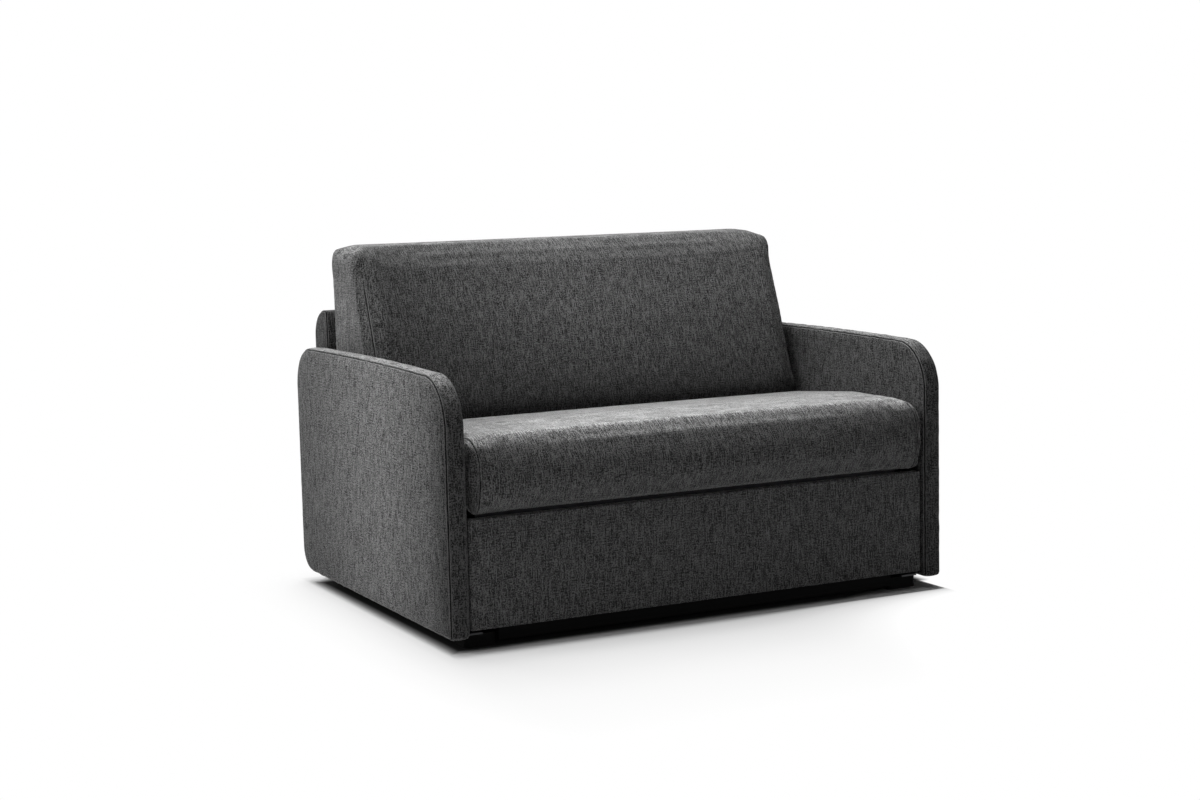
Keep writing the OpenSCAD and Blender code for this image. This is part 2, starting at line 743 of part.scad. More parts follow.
// Back: a board on the foot section's frame, the reclined cushion and the fabric border behind it
back_board_top_in = 6;
back_corner_r = 14;
board_corner_r = 8;
back_rear_r = 2;
border_z0 = foot_tab_z0 + foot_tab + eye_r;

module back_board() color("burlywood") placed()
    translate([0, back_board_y + back_board_t, 0]) rotate([90, 0, 0])
        linear_extrude(height = back_board_t)
            round_panel([-plate_x1, cushion_z],
                [plate_x1, back_top - border_t - back_board_top_in],
                [back_rear_r, board_corner_r, board_corner_r, back_rear_r]);

// The cushion's side outline: upright foot, belly over the seat, reclined face, round top
back_end_r = 12;
back_toe_r = 10;
back_belly_r = 18;
back_face_r = 300;
back_top_r = 62;
back_belly_proud = 14;
back_belly_gap = 10;
back_face_share = 0.52;
back_hollow = 8;
back_top_fall = 8;
back_crown = 8;

function back_outline(x) =
    let (k = abs(x) / back_x, rear = back_board_y - soft_gap,
        fall = round_fall(back_corner_r, back_x - abs(x)), top = back_top - fall,
        belly_z = seat_top - seat_fall + back_belly_gap, puff = back_crown * (1 - k * k) - back_crown / 2,
        face_z = belly_z + (back_top - belly_z) * back_face_share)
    [[rear, cushion_z, back_rear_r], [seat_depth, cushion_z, back_toe_r],
        [seat_depth, belly_z - back_belly_proud, back_toe_r],
        [seat_depth - back_belly_proud, belly_z, back_belly_r],
        [seat_depth - back_belly_proud + back_lean * back_face_share - puff - back_hollow,
            face_z, back_face_r],
        [seat_depth - back_belly_proud + back_lean, top - back_top_fall, back_top_r],
        [rear, top, back_rear_r]];

module back_cushion() color([0.24, 0.24, 0.25]) placed()
    loft([for (x = stations(back_x, back_corner_r))
        [for (p = ring(back_outline(x), round_fall(back_end_r, back_x - abs(x)))) [x, p[0], p[1]]]]);

// The border wraps the block's sides and top and turns down over its rear top edge
border_y0 = fold_y - tube / 2;
border_y1 = bed_rear_y + border_rear;

module back_border() color([0.24, 0.24, 0.25]) placed() difference() {
    slab(-back_x, back_x) round_panel([border_y0, border_z0], [border_y1, back_top],
        [back_rear_r, back_rear_r, border_top_r, back_rear_r]);
    slab(-back_x + border_t, back_x - border_t) {
        round_panel([border_y0 - over, border_z0 - over], [border_y1 - border_t, back_top - border_t],
            [back_rear_r, back_rear_r, border_top_r - border_t, back_rear_r]);
        translate([border_y0 - over, border_z0 - over])
            square([border_y1 - border_y0 + 2 * over, border_wrap_z - border_z0 + over]);
    }
}

arm_core(-1);  // left_arm_core
arm_core(1);  // right_arm_core
arm_cover(-1);  // left_arm_cover
arm_cover(1);  // right_arm_cover
fascia_board();
fascia_cover();
front_rail();
fascia_screws();
back_core();
back_cover();
back_dowels();
base_plate(-1);  // left_base_plate
base_plate(1);  // right_base_plate
base_cross_tubes();
rest_pads();
arm_bolts();
base_pivot_pins();
feet();
lift_link(-1, front_pivot_y);  // left_front_link
lift_link(1, front_pivot_y);  // right_front_link
lift_link(-1, rear_pivot_y);  // left_rear_link
lift_link(1, rear_pivot_y);  // right_rear_link
head_side_rails();
head_cross_tubes();
head_slats();
head_slat_holders();
head_pivot_pins();
head_hinge_plates();
head_hinge_pins();
head_mattress();
middle_side_rails();
middle_cross_tubes();
middle_slats();
middle_slat_holders();
middle_hinge_plates();
fold_hinge_plates();
fold_hinge_pins();
leg_brackets();
leg_pins();
middle_mattress();
seat_board();
seat_cushion();
leg(-1);  // left_leg
leg(1);  // right_leg
leg_glide(-1);  // left_leg_glide
leg_glide(1);  // right_leg_glide
foot_side_rails();
foot_cross_tubes();
foot_slats();
foot_slat_holders();
foot_hinge_plates();
foot_mattress();
back_board();
back_cushion();
back_border();
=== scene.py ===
"""Upholstery, bedding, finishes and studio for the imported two-seat sofa bed."""

import json
import math

import bmesh
import bpy
import numpy as np
from bpy.props import FloatProperty, FloatVectorProperty, IntProperty, PointerProperty
from mathutils import Matrix, Vector, noise


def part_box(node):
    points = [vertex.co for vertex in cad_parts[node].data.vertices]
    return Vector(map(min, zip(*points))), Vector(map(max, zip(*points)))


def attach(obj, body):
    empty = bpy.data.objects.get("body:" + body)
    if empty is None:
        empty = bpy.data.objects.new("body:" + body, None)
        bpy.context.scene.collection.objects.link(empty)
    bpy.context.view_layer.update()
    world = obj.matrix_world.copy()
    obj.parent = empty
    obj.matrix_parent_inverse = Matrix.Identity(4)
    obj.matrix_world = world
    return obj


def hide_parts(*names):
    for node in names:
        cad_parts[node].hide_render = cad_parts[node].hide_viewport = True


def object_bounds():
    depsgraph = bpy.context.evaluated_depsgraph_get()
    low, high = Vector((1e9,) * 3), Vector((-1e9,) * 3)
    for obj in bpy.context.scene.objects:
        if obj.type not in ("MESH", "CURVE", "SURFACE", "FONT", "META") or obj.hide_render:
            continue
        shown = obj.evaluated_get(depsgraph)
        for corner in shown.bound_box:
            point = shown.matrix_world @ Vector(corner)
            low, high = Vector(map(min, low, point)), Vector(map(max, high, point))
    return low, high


bl_info = {
    "name": "Sofa Bed Upholstery",
    "version": (1, 0, 0),
    "blender": (4, 5, 0),
    "location": "3D View > Sidebar > Sofa Bed",
    "description": "Covers, cushions, mattresses and finishes for a two-seat fold-out sofa bed",
    "category": "Object",
}

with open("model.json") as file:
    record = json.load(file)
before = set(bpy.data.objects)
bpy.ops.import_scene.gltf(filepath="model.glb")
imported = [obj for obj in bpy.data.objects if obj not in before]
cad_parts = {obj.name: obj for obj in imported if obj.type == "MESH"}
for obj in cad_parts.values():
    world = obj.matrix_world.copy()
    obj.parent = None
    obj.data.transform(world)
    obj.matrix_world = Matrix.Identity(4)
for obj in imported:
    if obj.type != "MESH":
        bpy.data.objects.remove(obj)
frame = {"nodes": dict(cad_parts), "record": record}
CAD_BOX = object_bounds()

# The right arm's box: its outer face and its ends bound the carcass
ARM_LOW, ARM_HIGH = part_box("right_arm_cover")


# Sizes and colours a user would change


class SofaFabric(bpy.types.PropertyGroup):
    """Colours and thread sizes of the chenille."""

    thread_dark: FloatVectorProperty(
        name="Dark thread", description="Colour of the darkest yarns in the weave",
        subtype="COLOR", min=0, max=1, default=(0.010, 0.010, 0.010))
    thread_light: FloatVectorProperty(
        name="Light thread", description="Colour of the lightest yarns in the weave",
        subtype="COLOR", min=0, max=1, default=(0.15, 0.15, 0.15))
    yarn_width: FloatProperty(
        name="Yarn width", description="Width of one warp yarn",
        unit="LENGTH", default=0.0030, min=0.0005, max=0.01)
    slub_length: FloatProperty(
        name="Slub length", description="Length of the light slubs along the warp",
        unit="LENGTH", default=0.016, min=0.002, max=0.1)
    nap_size: FloatProperty(
        name="Nap patches", description="Size of the brushed patches in the pile",
        unit="LENGTH", default=0.034, min=0.01, max=0.3)
    # Painted highlight: how much lighter the colour is painted on faces that lie flat, standing in for the
    # light from above
    painted_top_light: FloatProperty(
        name="Raised nap", description="How much lighter the brushed pile is on faces that lie flat",
        default=1.4, min=0.0, max=4.0)


class SofaCovers(bpy.types.PropertyGroup):
    """Seams and roundings of the covers."""

    edge_round: FloatProperty(
        name="Panel edge", description="Radius with which a padded panel turns onto its band",
        unit="LENGTH", default=0.012, min=0.002, max=0.02)
    seam_depth: FloatProperty(
        name="Seam depth", description="How deep a seam draws the fabric in",
        unit="LENGTH", default=0.0028, min=0.0, max=0.006)
    panel_crown: FloatProperty(
        name="Panel crown", description="How far a padded arm panel swells in its middle",
        unit="LENGTH", default=0.007, min=0.0, max=0.01)
    top_crown: FloatProperty(
        name="Arm top crown", description="How far the top of an arm swells half way along",
        unit="LENGTH", default=0.007, min=0.0, max=0.01)
    pucker: FloatProperty(
        name="Puckers", description="Height of the small puckers along a seam",
        unit="LENGTH", default=0.0026, min=0.0, max=0.004)


class SofaBedding(bpy.types.PropertyGroup):
    """Cushions and mattresses."""

    voxel: FloatProperty(
        name="Remesh size", description="Edge length of the cushions' cloth mesh",
        unit="LENGTH", default=0.006, min=0.003, max=0.02)
    pressure: FloatProperty(
        name="Filling pressure", description="Pressure that the filling puts on the cover",
        default=4.0, min=0.0, max=20.0)
    frames: IntProperty(
        name="Settling frames", description="Frames that the cover settles for",
        default=14, min=2, max=60)
    swell: FloatProperty(
        name="Greatest swell", description="How far the cover may move while it settles",
        unit="LENGTH", default=0.009, min=0.0, max=0.03)
    quilt_pitch: FloatProperty(
        name="Quilting pitch", description="Distance between the mattress quilting lines",
        unit="LENGTH", default=0.115, min=0.03, max=0.4)
    ticking: FloatVectorProperty(
        name="Ticking", description="Colour of the mattress ticking",
        subtype="COLOR", min=0, max=1, default=(0.70, 0.69, 0.665))


class SofaStudio(bpy.types.PropertyGroup):
    """Camera and studio light."""

    camera_place: FloatVectorProperty(
        name="Camera place", description="Where the camera stands",
        subtype="XYZ", default=(-2.4224, -4.7122, 1.1142))
    yaw: FloatProperty(
        name="Yaw", description="Turn of the camera to the right of straight ahead",
        subtype="ANGLE", default=math.radians(26.886))
    pitch: FloatProperty(
        name="Pitch", description="How far the camera looks down",
        subtype="ANGLE", default=math.radians(6.845))
    roll: FloatProperty(
        name="Roll", description="Roll of the camera",
        subtype="ANGLE", default=math.radians(-1.298))
    lens: FloatProperty(
        name="Lens", description="Focal length for a 36 mm wide sensor, in millimetres", default=62.504)
    overhead: FloatProperty(
        name="Overhead", description="Power of the soft light above the sofa", default=65.0, min=0.0)
    rear: FloatProperty(
        name="Rear", description="Power of the soft light above and behind the sofa", default=76.0, min=0.0)
    left: FloatProperty(
        name="Left", description="Power of the soft light to the left of the sofa", default=56.0, min=0.0)
    ambient: FloatProperty(
        name="Ambient", description="Level of the white room around the sofa", default=0.043, min=0.0)


# Mesh helpers


def mesh_object(name, points, faces):
    """A smooth-shaded object in the row frame from points and faces."""
    mesh = bpy.data.meshes.new(name)
    mesh.from_pydata(np.asarray(points, float).tolist(), [], faces)
    mesh.validate()
    bm = bmesh.new()
    bm.from_mesh(mesh)
    bmesh.ops.remove_doubles(bm, verts=bm.verts, dist=1e-6)
    bmesh.ops.recalc_face_normals(bm, faces=bm.faces)
    bm.to_mesh(mesh)
    bm.free()
    mesh.shade_smooth()
    obj = bpy.data.objects.new(name, mesh)
    bpy.context.scene.collection.objects.link(obj)
    return obj


def vertex_values(mesh, kind):
    """A vector of every vertex of a mesh as an array; kind is co or normal."""
    values = np.empty(len(mesh.vertices) * 3)
    mesh.vertices.foreach_get(kind, values)
    return values.reshape(-1, 3)


def coords(obj):
    return vertex_values(obj.data, "co")


def normals(obj):
    return vertex_values(obj.data, "normal")


def put_coords(obj, co):
    obj.data.vertices.foreach_set("co", np.asarray(co, float).ravel())
    obj.data.update()


def sewing_run(edge):
    """Length along a closed outline at each of its points."""
    return np.concatenate([[0], np.cumsum(np.linalg.norm(np.diff(edge, axis=0), axis=1))])


def modify(obj, kind, **settings):
    """Replaces the mesh by what a modifier makes of it."""
    modifier = obj.modifiers.new(kind, kind)
    for key, value in settings.items():
        setattr(modifier, key, value)
    made = bpy.data.meshes.new_from_object(obj.evaluated_get(bpy.context.evaluated_depsgraph_get()))
    old = obj.data
    obj.modifiers.clear()
    obj.data = made
    bpy.data.meshes.remove(old)


def held(values):
    """Values held between 0 and 1."""
    return np.clip(values, 0, 1)


def loft(name, rings):
    """A closed skin over rings of equal point count, with fans over both ends."""
    rings = np.asarray(rings, float)
    rows, count = rings.shape[:2]
    points = rings.reshape(-1, 3).tolist()
    sides = [(j, (j + 1) % count) for j in range(count)]
    faces = [(i + a, i + b, i + count + b, i + count + a)
             for i in range(0, (rows - 1) * count, count) for a, b in sides]
    for row in (0, rows - 1):
        points.append(rings[row].mean(0).tolist())
        faces += [(row * count + a, row * count + b, len(points) - 1) for a, b in sides]
    return mesh_object(name, points, faces)


def rounded_box_outline(low, high, radii, inset, steps, spans):
    """A rectangle with its own radius at each corner, drawn in by inset.
    Corners and radii run front bottom, front top, rear top, rear bottom; every inset has the same count."""
    least = 0.0015
    places = ((low[0], low[1]), (low[0], high[1]), (high[0], high[1]), (high[0], low[1]))
    inward = ((1, 1), (1, -1), (-1, -1), (-1, 1))
    starts = (270, 180, 90, 0)
    arcs = []
    for place, way, radius, start in zip(places, inward, radii, starts):
        r = max(radius - inset, least)
        off = max(radius, inset + r)
        centre = (place[0] + way[0] * off, place[1] + way[1] * off)
        turns = [math.radians(start - 90 * k / steps) for k in range(steps + 1)]
        arcs.append([(centre[0] + r * math.cos(a), centre[1] + r * math.sin(a)) for a in turns])
    points = []
    for i, arc in enumerate(arcs):
        points += arc
        a, b = np.array(arc[-1]), np.array(arcs[(i + 1) % 4][0])
        points += [tuple(a + (b - a) * k / spans[i]) for k in range(1, spans[i])]
    return np.array(points)


def rounded_outline(corners, inset=0.0, steps=8, least=0.0012):
    """A convex outline through (y, z, radius) corners, drawn in by inset, its corners rounded."""
    def sides(v):
        """Each corner with its directions towards the one before and the one after."""
        return [(v[i], (v[i - 1] - v[i]).normalized(), (v[i + 1 - len(v)] - v[i]).normalized())
                for i in range(len(v))]

    moved = [at + (a + b).normalized() * inset / math.sin(a.angle(b) / 2)
             for at, a, b in sides([Vector(c[:2]) for c in corners])]
    points = []
    for (at, a, b), (_, _, radius) in zip(sides(moved), corners):
        half = a.angle(b) / 2
        r = max(radius - inset, least)
        centre = at + (a + b).normalized() * r / math.sin(half)
        s, e = at + a * r / math.tan(half) - centre, at + b * r / math.tan(half) - centre
        sa, ea = math.atan2(s.y, s.x), math.atan2(e.y, e.x)
        turn = (ea - sa + math.pi) % (2 * math.pi) - math.pi
        points += [(centre.x + r * math.cos(sa + turn * k / steps),
                    centre.y + r * math.sin(sa + turn * k / steps)) for k in range(steps + 1)]
    return np.array(points)


def resampled(points, count):
    """A closed outline with evenly spaced points."""
    closed = np.vstack([points, points[:1]])
    run = sewing_run(closed)
    at = np.linspace(0, run[-1], count, endpoint=False)
    return np.stack([np.interp(at, run, closed[:, k]) for k in range(2)], axis=1)


def waver(x, y, z=0.0):
    """Smooth noise from -1 to 1."""
    return noise.noise(Vector((x, y, z)))


def mark(obj, name, values):
    """Stores one number for each vertex under a name that a material reads."""
    layer = obj.data.attributes.get(name) or obj.data.attributes.new(name, "FLOAT", "POINT")
    layer.data.foreach_set("value", np.asarray(values, np.float32))


def set_seams(obj, values):
    """Marks the seams: 1 in the groove, which the fabric darkens, and -1 on the lip beside it, which the
    chenille paints lighter as a painted highlight.
    """
    mark(obj, "seam", values)


# How far each ring of a panel lies inside its edge
PANEL_RINGS = (0.016, 0.022, 0.030, 0.040, 0.052, 0.066, 0.082, 0.1, 0.12, 0.142, 0.166)

# Over what distance from the edge a panel rises to its crown, and its puckers fade out
CROWN_RISE, PUCKER_FADE = 0.06, 0.035

# Length of the puckers on a panel and along its band, and how much lower they are on the band
PANEL_PUCKER, BAND_PUCKER, BAND_SHARE = 0.020, 0.028, 0.55


def boxed_cover(name, outline, across, to_row, crown, pucker, seed):
    """A padded panel cover: two panels joined by a band that follows the outline.
    across lists (place through the thickness, inset, seam) from one panel edge to the other."""
    edge = outline(0.0)
    run = sewing_run(edge)
    half = 0.5 * (edge.max(0) - edge.min(0)).min()
    insets = [inset for inset in PANEL_RINGS if inset < 0.9 * half]

    def panel(place, way):
        out = []
        for inset in insets:
            swell = crown * (1 - math.exp(-inset / CROWN_RISE))
            shape = outline(inset)
            height = pucker * math.exp(-inset / PUCKER_FADE)
            gather = [height * waver(s / PANEL_PUCKER + inset * 6, seed + inset * 16) for s in run]
            out.append(to_row(shape, [place + way * (swell + g) for g in gather]))
        centre = shape.mean(0)
        for share in (0.7, 0.45, 0.2, 0.04):
            out.append(to_row(centre + (shape - centre) * share,
                              [place + way * crown * (1 - 0.06 * share)] * len(shape)))
        return out

    rings = panel(across[0][0], -1)[::-1]
    plain = [0.0] * len(rings)
    draw = (outline(0.001) - edge) / 0.001
    gather = np.array([BAND_SHARE * pucker * waver(s / BAND_PUCKER, seed) for s in run])[:, None]
    rings += [to_row(outline(inset) + draw * gather, [place] * len(edge)) for place, inset, _ in across]
    rings += panel(across[-1][0], 1)
    obj = loft(name, rings)
    marks = np.concatenate([np.repeat([*plain, *(seam for _, _, seam in across), *plain], len(edge)), [0, 0]])
    if len(marks) == len(obj.data.vertices):
        set_seams(obj, marks)
    return obj


# A seam across its line: (distance, share of its depth, mark for the fabric)
GROOVE = ((-0.0044, 0.0, 0.0), (-0.0030, -0.22, -1.0), (-0.0018, 0.35, 0.0), (-0.0010, 1.0, 1.0),
          (0.0010, 1.0, 1.0), (0.0018, 0.35, 0.0), (0.0030, -0.22, -0.7), (0.0044, 0.0, 0.0))
GROOVE_REACH = 0.0046


def band_profile(width, radius, depth, bulge):
    """(place, inset, seam) over both rounded edges of a band, with a seam half way round each."""
    turn = radius * math.pi / 2
    bends = [(turn * k / 6, 0.0, 0.0) for k in range(7)]
    bends = [b for b in bends if abs(b[0] - turn / 2) > GROOVE_REACH]
    bends = sorted(bends + [(turn / 2 + run, pull, seam) for run, pull, seam in GROOVE])
    half = []
    for run, pull, seam in bends:
        a = run / radius
        half.append((radius - radius * math.cos(a) + depth * pull * math.cos(a),
                     radius - radius * math.sin(a) + depth * pull * math.sin(a), seam))
    middle = [(radius + (width - 2 * radius) * k / 6, -bulge * math.sin(math.pi * k / 6), 0.0)
              for k in range(1, 6)]
    return half + middle + [(width - place, inset, seam) for place, inset, seam in reversed(half)]


# How the cushions' cover behaves while the filling pushes it out
CLOTH = {"quality": 3, "mass": 0.3, "tension_stiffness": 15, "compression_stiffness": 15,
         "shear_stiffness": 5, "bending_stiffness": 0.5, "use_pressure": True}


def pass_through_cloth(obj, props, hold):
    """Lets the filling push the cover out for a few frames, and keeps every move small."""
    modify(obj, "REMESH", mode="VOXEL", voxel_size=props.voxel)
    before = coords(obj)
    cloth = obj.modifiers.new("Cloth", "CLOTH")
    for key, value in CLOTH.items():
        setattr(cloth.settings, key, value)
    cloth.settings.uniform_pressure_force = props.pressure
    cloth.settings.effector_weights.gravity = 0
    cloth.collision_settings.use_collision = False
    cloth.point_cache.frame_start = 1
    cloth.point_cache.frame_end = props.frames
    scene = bpy.context.scene
    for f in range(1, props.frames + 1):
        scene.frame_set(f)
    settled = obj.evaluated_get(bpy.context.evaluated_depsgraph_get())
    after = vertex_values(settled.to_mesh(), "co")
    settled.to_mesh_clear()
    obj.modifiers.remove(cloth)
    move = after - before
    length = np.linalg.norm(move, axis=1, keepdims=True)
    move *= np.minimum(1.0, props.swell / np.maximum(length, 1e-9))
    put_coords(obj, before + move)
    scene.frame_set(1)
    put_coords(obj, hold(coords(obj)))
    modify(obj, "SMOOTH", factor=0.5, iterations=4)
    modify(obj, "SUBSURF", levels=1, render_levels=1)
    put_coords(obj, hold(coords(obj)))
    obj.data.shade_smooth()


def slice_planes(obj, places):
    """Cuts edge loops into the mesh at planes across X, so that a seam is sharp there."""
    bm = bmesh.new()
    bm.from_mesh(obj.data)
    for x in places:
        geom = bm.verts[:] + bm.edges[:] + bm.faces[:]
        bmesh.ops.bisect_plane(bm, geom=geom, dist=1e-5, plane_co=(x, 0, 0), plane_no=(1, 0, 0))
    bm.to_mesh(obj.data)
    bm.free()
    obj.data.shade_smooth()


def cut_out(obj, boxes):
    """Takes boxes (low corner, high corner) out of a solid."""
    for low, high in boxes:
        bm = bmesh.new()
        bmesh.ops.create_cube(bm, size=1.0)
        for v in bm.verts:
            v.co = Vector([low[i] + (high[i] - low[i]) * (v.co[i] + 0.5) for i in range(3)])
        mesh = bpy.data.meshes.new("cutter")
        bm.to_mesh(mesh)
        bm.free()
        cutter = bpy.data.objects.new("cutter", mesh)
        bpy.context.scene.collection.objects.link(cutter)
        modify(obj, "BOOLEAN", operation="DIFFERENCE", solver="MANIFOLD", object=cutter)
        bpy.data.objects.remove(cutter)
        bpy.data.meshes.remove(mesh)


# Materials


class Value:
    """A number or colour in a shader; arithmetic with it adds math nodes."""

    def __init__(self, shader, socket):
        self.shader, self.socket = shader, socket

    def __add__(self, other):
        return self.shader.maths("ADD", self, other)

    def __mul__(self, other):
        return self.shader.maths("MULTIPLY", self, other)

    def __sub__(self, other):
        return self.shader.maths("SUBTRACT", self, other)

    def __rsub__(self, other):
        return self.shader.maths("SUBTRACT", other, self)

    def __truediv__(self, other):
        return self.shader.maths("DIVIDE", self, other)

    __radd__, __rmul__ = __add__, __mul__


class Shader:
    """Small helper that adds nodes to one material."""

    def __init__(self, name):
        self.material = bpy.data.materials.new(name)
        self.material.use_nodes = True
        self.tree = self.material.node_tree
        self.tree.nodes.clear()
        self.out = self.add("ShaderNodeOutputMaterial")
        self.surface = self.add("ShaderNodeBsdfPrincipled")
        self.link(self.surface.outputs["BSDF"], self.out.inputs["Surface"])

    def add(self, kind, **values):
        node = self.tree.nodes.new(kind)
        for key, value in values.items():
            setattr(node, key, value)
        return node

    def link(self, a, b):
        self.tree.links.new(a, b)

    def feed(self, socket, value):
        if isinstance(value, Value):
            self.link(value.socket, socket)
        else:
            socket.default_value = value

    def feed_all(self, node, **values):
        """Feeds inputs of a node by name; From_Min stands for From Min."""
        for name, value in values.items():
            self.feed(node.inputs[name.replace("_", " ")], value)

    def maths(self, operation, *values, clamp=False):
        node = self.add("ShaderNodeMath", operation=operation, use_clamp=clamp)
        for socket, value in zip(node.inputs, values):
            self.feed(socket, value)
        return Value(self, node.outputs[0])

    def smoothly(self, value, start, end):
        """Rises from 0 at start to 1 at end, with soft ends."""
        node = self.add("ShaderNodeMapRange", interpolation_type="SMOOTHSTEP")
        self.feed_all(node, Value=value, From_Min=start, From_Max=end)
        return Value(self, node.outputs["Result"])

    def grain(self, vector, scale=1.0, detail=2.0, roughness=0.5, distortion=0.0):
        node = self.add("ShaderNodeTexNoise")
        self.feed_all(node, Vector=vector, Scale=scale, Detail=detail, Roughness=roughness,
                      Distortion=distortion)
        return Value(self, node.outputs["Fac"])

    def vector(self, x, y, z=0.0):
        node = self.add("ShaderNodeCombineXYZ")
        self.feed_all(node, X=x, Y=y, Z=z)
        return Value(self, node.outputs[0])

    def ramp(self, value, stops):
        node = self.add("ShaderNodeValToRGB")
        self.feed_all(node, Fac=value)
        elements = node.color_ramp.elements
        for i, (at, colour) in enumerate(stops):
            element = elements[i] if i < 2 else elements.new(at)
            element.position = at
            element.color = (*colour, 1.0)
        return Value(self, node.outputs["Color"])

    def blend(self, share, a, b, kind="MIX"):
        node = self.add("ShaderNodeMix", data_type="RGBA", blend_type=kind)
        sockets = {socket.identifier: socket for socket in (*node.inputs, *node.outputs)}
        for name, value in (("Factor_Float", share), ("A_Color", a), ("B_Color", b)):
            self.feed(sockets[name], value if isinstance(value, (Value, float)) else (*value, 1.0))
        return Value(self, sockets["Result_Color"])

    def relief(self, height, distance, strength):
        node = self.add("ShaderNodeBump")
        self.feed_all(node, Height=height, Distance=distance, Strength=strength)
        self.link(node.outputs["Normal"], self.surface.inputs["Normal"])

    def marked(self, name):
        """The numbers that mark stored under a name."""
        return Value(self, self.add("ShaderNodeAttribute", attribute_name=name).outputs["Fac"])

    def place(self):
        """Row-frame place and object normal, each split into X, Y and Z."""
        coordinate = self.add("ShaderNodeTexCoord")
        parts = []
        for name in ("Object", "Normal"):
            split = self.add("ShaderNodeSeparateXYZ")
            self.link(coordinate.outputs[name], split.inputs[0])
            parts.append([Value(self, socket) for socket in split.outputs])
        return parts


# Between what heights of its normal a face counts as lying, where the colour is painted lighter as a painted
# highlight from above
LYING = (0.70, 1.04)

# How much of its colour the fabric loses where its painted shade is full
PAINTED_SHADE_DEPTH = 0.76

# How far along its length a yarn may start from its neighbour, in slubs
SLIP = 9.0


def chenille(name, context, shade, brushed, sheen, painted_top_share, fuzz=0.3, coarse=1.0):
    """Charcoal chenille: light slubs along the warp, salt-and-pepper weave, brushed nap, sheen, a painted
    highlight on faces that lie flat and painted shade where the mesh is marked for it.
    """
    props = context.scene.sofa_fabric
    s = Shader(name)
    (x, y, z), (nx, ny, nz) = s.place()
    side = s.maths("GREATER_THAN", s.maths("ABSOLUTE", nx), 0.62)
    away = s.maths("GREATER_THAN", ny * nz, 0.2)
    fall = z + y * (1.0 - away * 2.0)
    u = x * (1.0 - side) + y * side
    v = fall * (1.0 - side) + z * side
    yarn, slub, nap = props.yarn_width, props.slub_length, props.nap_size

    def yarn_start(yarns, seed):
        return s.grain(s.vector(yarns, seed + 0.5), scale=0.9, detail=0.0) * SLIP

    def layer(across, along, seed, detail=0.0, distortion=0.0, slip=False):
        """One noise of the weave; slip starts each yarn at a place of its own."""
        a, b = u / across, v / along
        if slip and along > across:
            b = b + yarn_start(a, seed)
        elif slip:
            a = a + yarn_start(b, seed)
        return s.grain(s.vector(a, b, seed), detail=detail, roughness=0.55, distortion=distortion)

    warp = layer(yarn, slub, 0.0, 0.5, slip=True)
    fleck = layer(yarn, yarn * 1.2, 5.0, 0.5)
    weft = layer(yarn * 4.0, yarn, 13.0, slip=True)
    streak = s.smoothly(layer(yarn, slub * 2.1, 31.0, slip=True), 0.58, 0.74)
    broad = layer(0.024, 0.040, 21.0, 1.0, 0.3)
    patch = layer(nap * 0.45, nap * 1.5, 3.0, 3.0, 0.7)
    wisp = layer(nap * 2.4, nap * 0.8, 27.0, 3.0, 0.7)
    lying = s.smoothly(nz, *LYING)
    weave = streak * (0.6 * coarse)
    for value, amount in ((warp, 1.9), (fleck, 2.2), (weft, 1.0)):
        weave = weave + (value - 0.5) * (amount * coarse)
    tone = 0.5 + weave * (1.0 - lying * 0.35)
    for value, amount in ((broad, 0.35), (patch, 0.3 * brushed), (wisp, lying * 0.9)):
        tone = tone + (value - 0.5) * amount
    dark, light = [c * shade for c in props.thread_dark], [c * shade for c in props.thread_light]
    middle = [0.68 * deep + 0.32 * pale for deep, pale in zip(dark, light)]
    colour = s.ramp(tone, ((0.08, dark), (0.95, light), (0.5, middle)))
    # Painted highlight on faces that lie flat, and painted shade where the mesh is marked for it, multiplied
    # into the colour
    painted_light_and_shade = 1.0 + (lying * (props.painted_top_light * painted_top_share) - s.marked("painted_shade") * PAINTED_SHADE_DEPTH)
    colour = s.blend(1.0, colour, s.vector(painted_light_and_shade, painted_light_and_shade, painted_light_and_shade), "MULTIPLY")
    seam = s.marked("seam")
    colour = s.blend(s.maths("MULTIPLY", seam, 0.95, clamp=True), colour, [c * 0.2 for c in dark])
    # The lip beside a seam is painted lighter: a painted highlight
    colour = s.blend(s.maths("MULTIPLY", seam, -0.5, clamp=True), colour, light)
    s.feed_all(s.surface, Base_Color=colour, Roughness=0.95, Specular_IOR_Level=0.08, Sheen_Weight=sheen,
               Sheen_Roughness=fuzz, Sheen_Tint=(1.0, 1.0, 1.0, 1.0))
    s.relief(warp * 0.6 + fleck * 0.6, 0.0026, 0.6)
    return s.material


def ticking_cloth(name, context):
    """Pale mattress ticking with a fine figured weave."""
    base = context.scene.sofa_bedding.ticking
    threads = 2 * math.pi / 0.0042
    s = Shader(name)
    (x, y, z), _ = s.place()
    u, v = x + z * 0.31, y + z
    figure = s.maths("SINE", u * threads) * s.maths("SINE", v * threads)
    cloud = s.grain(s.vector(u / 0.03, v / 0.03), detail=4.0)
    tone = (0.5 + figure * 0.16) + (cloud - 0.5) * 0.5
    colour = s.ramp(tone, ((0.1, [c * 0.84 for c in base]), (0.9, [min(1, c * 1.05) for c in base])))
    colour = s.blend(s.marked("seam") * 0.6, colour, [c * 0.5 for c in base])
    s.feed_all(s.surface, Base_Color=colour, Roughness=0.85, Sheen_Weight=0.15)
    s.relief(tone, 0.0006, 0.5)
    return s.material


def wood(name, pale, deep, ring_size, length, specular=0.3):
    """Planed wood with its grain along X."""
    s = Shader(name)
    (x, y, z), _ = s.place()

    def stretched(along, across):
        return s.vector(x / along, y / across, z / across)

    bands = s.grain(stretched(length, ring_size), detail=5.0, roughness=0.62, distortion=0.9)
    fibre = s.grain(stretched(0.03, 0.0008), detail=2.0)
    colour = s.ramp(bands * 0.75 + fibre * 0.25, ((0.34, deep), (0.66, pale)))
    s.feed_all(s.surface, Base_Color=colour, Roughness=0.6, Specular_IOR_Level=specular)
    s.relief(fibre, 0.0003, 0.4)
    return s.material


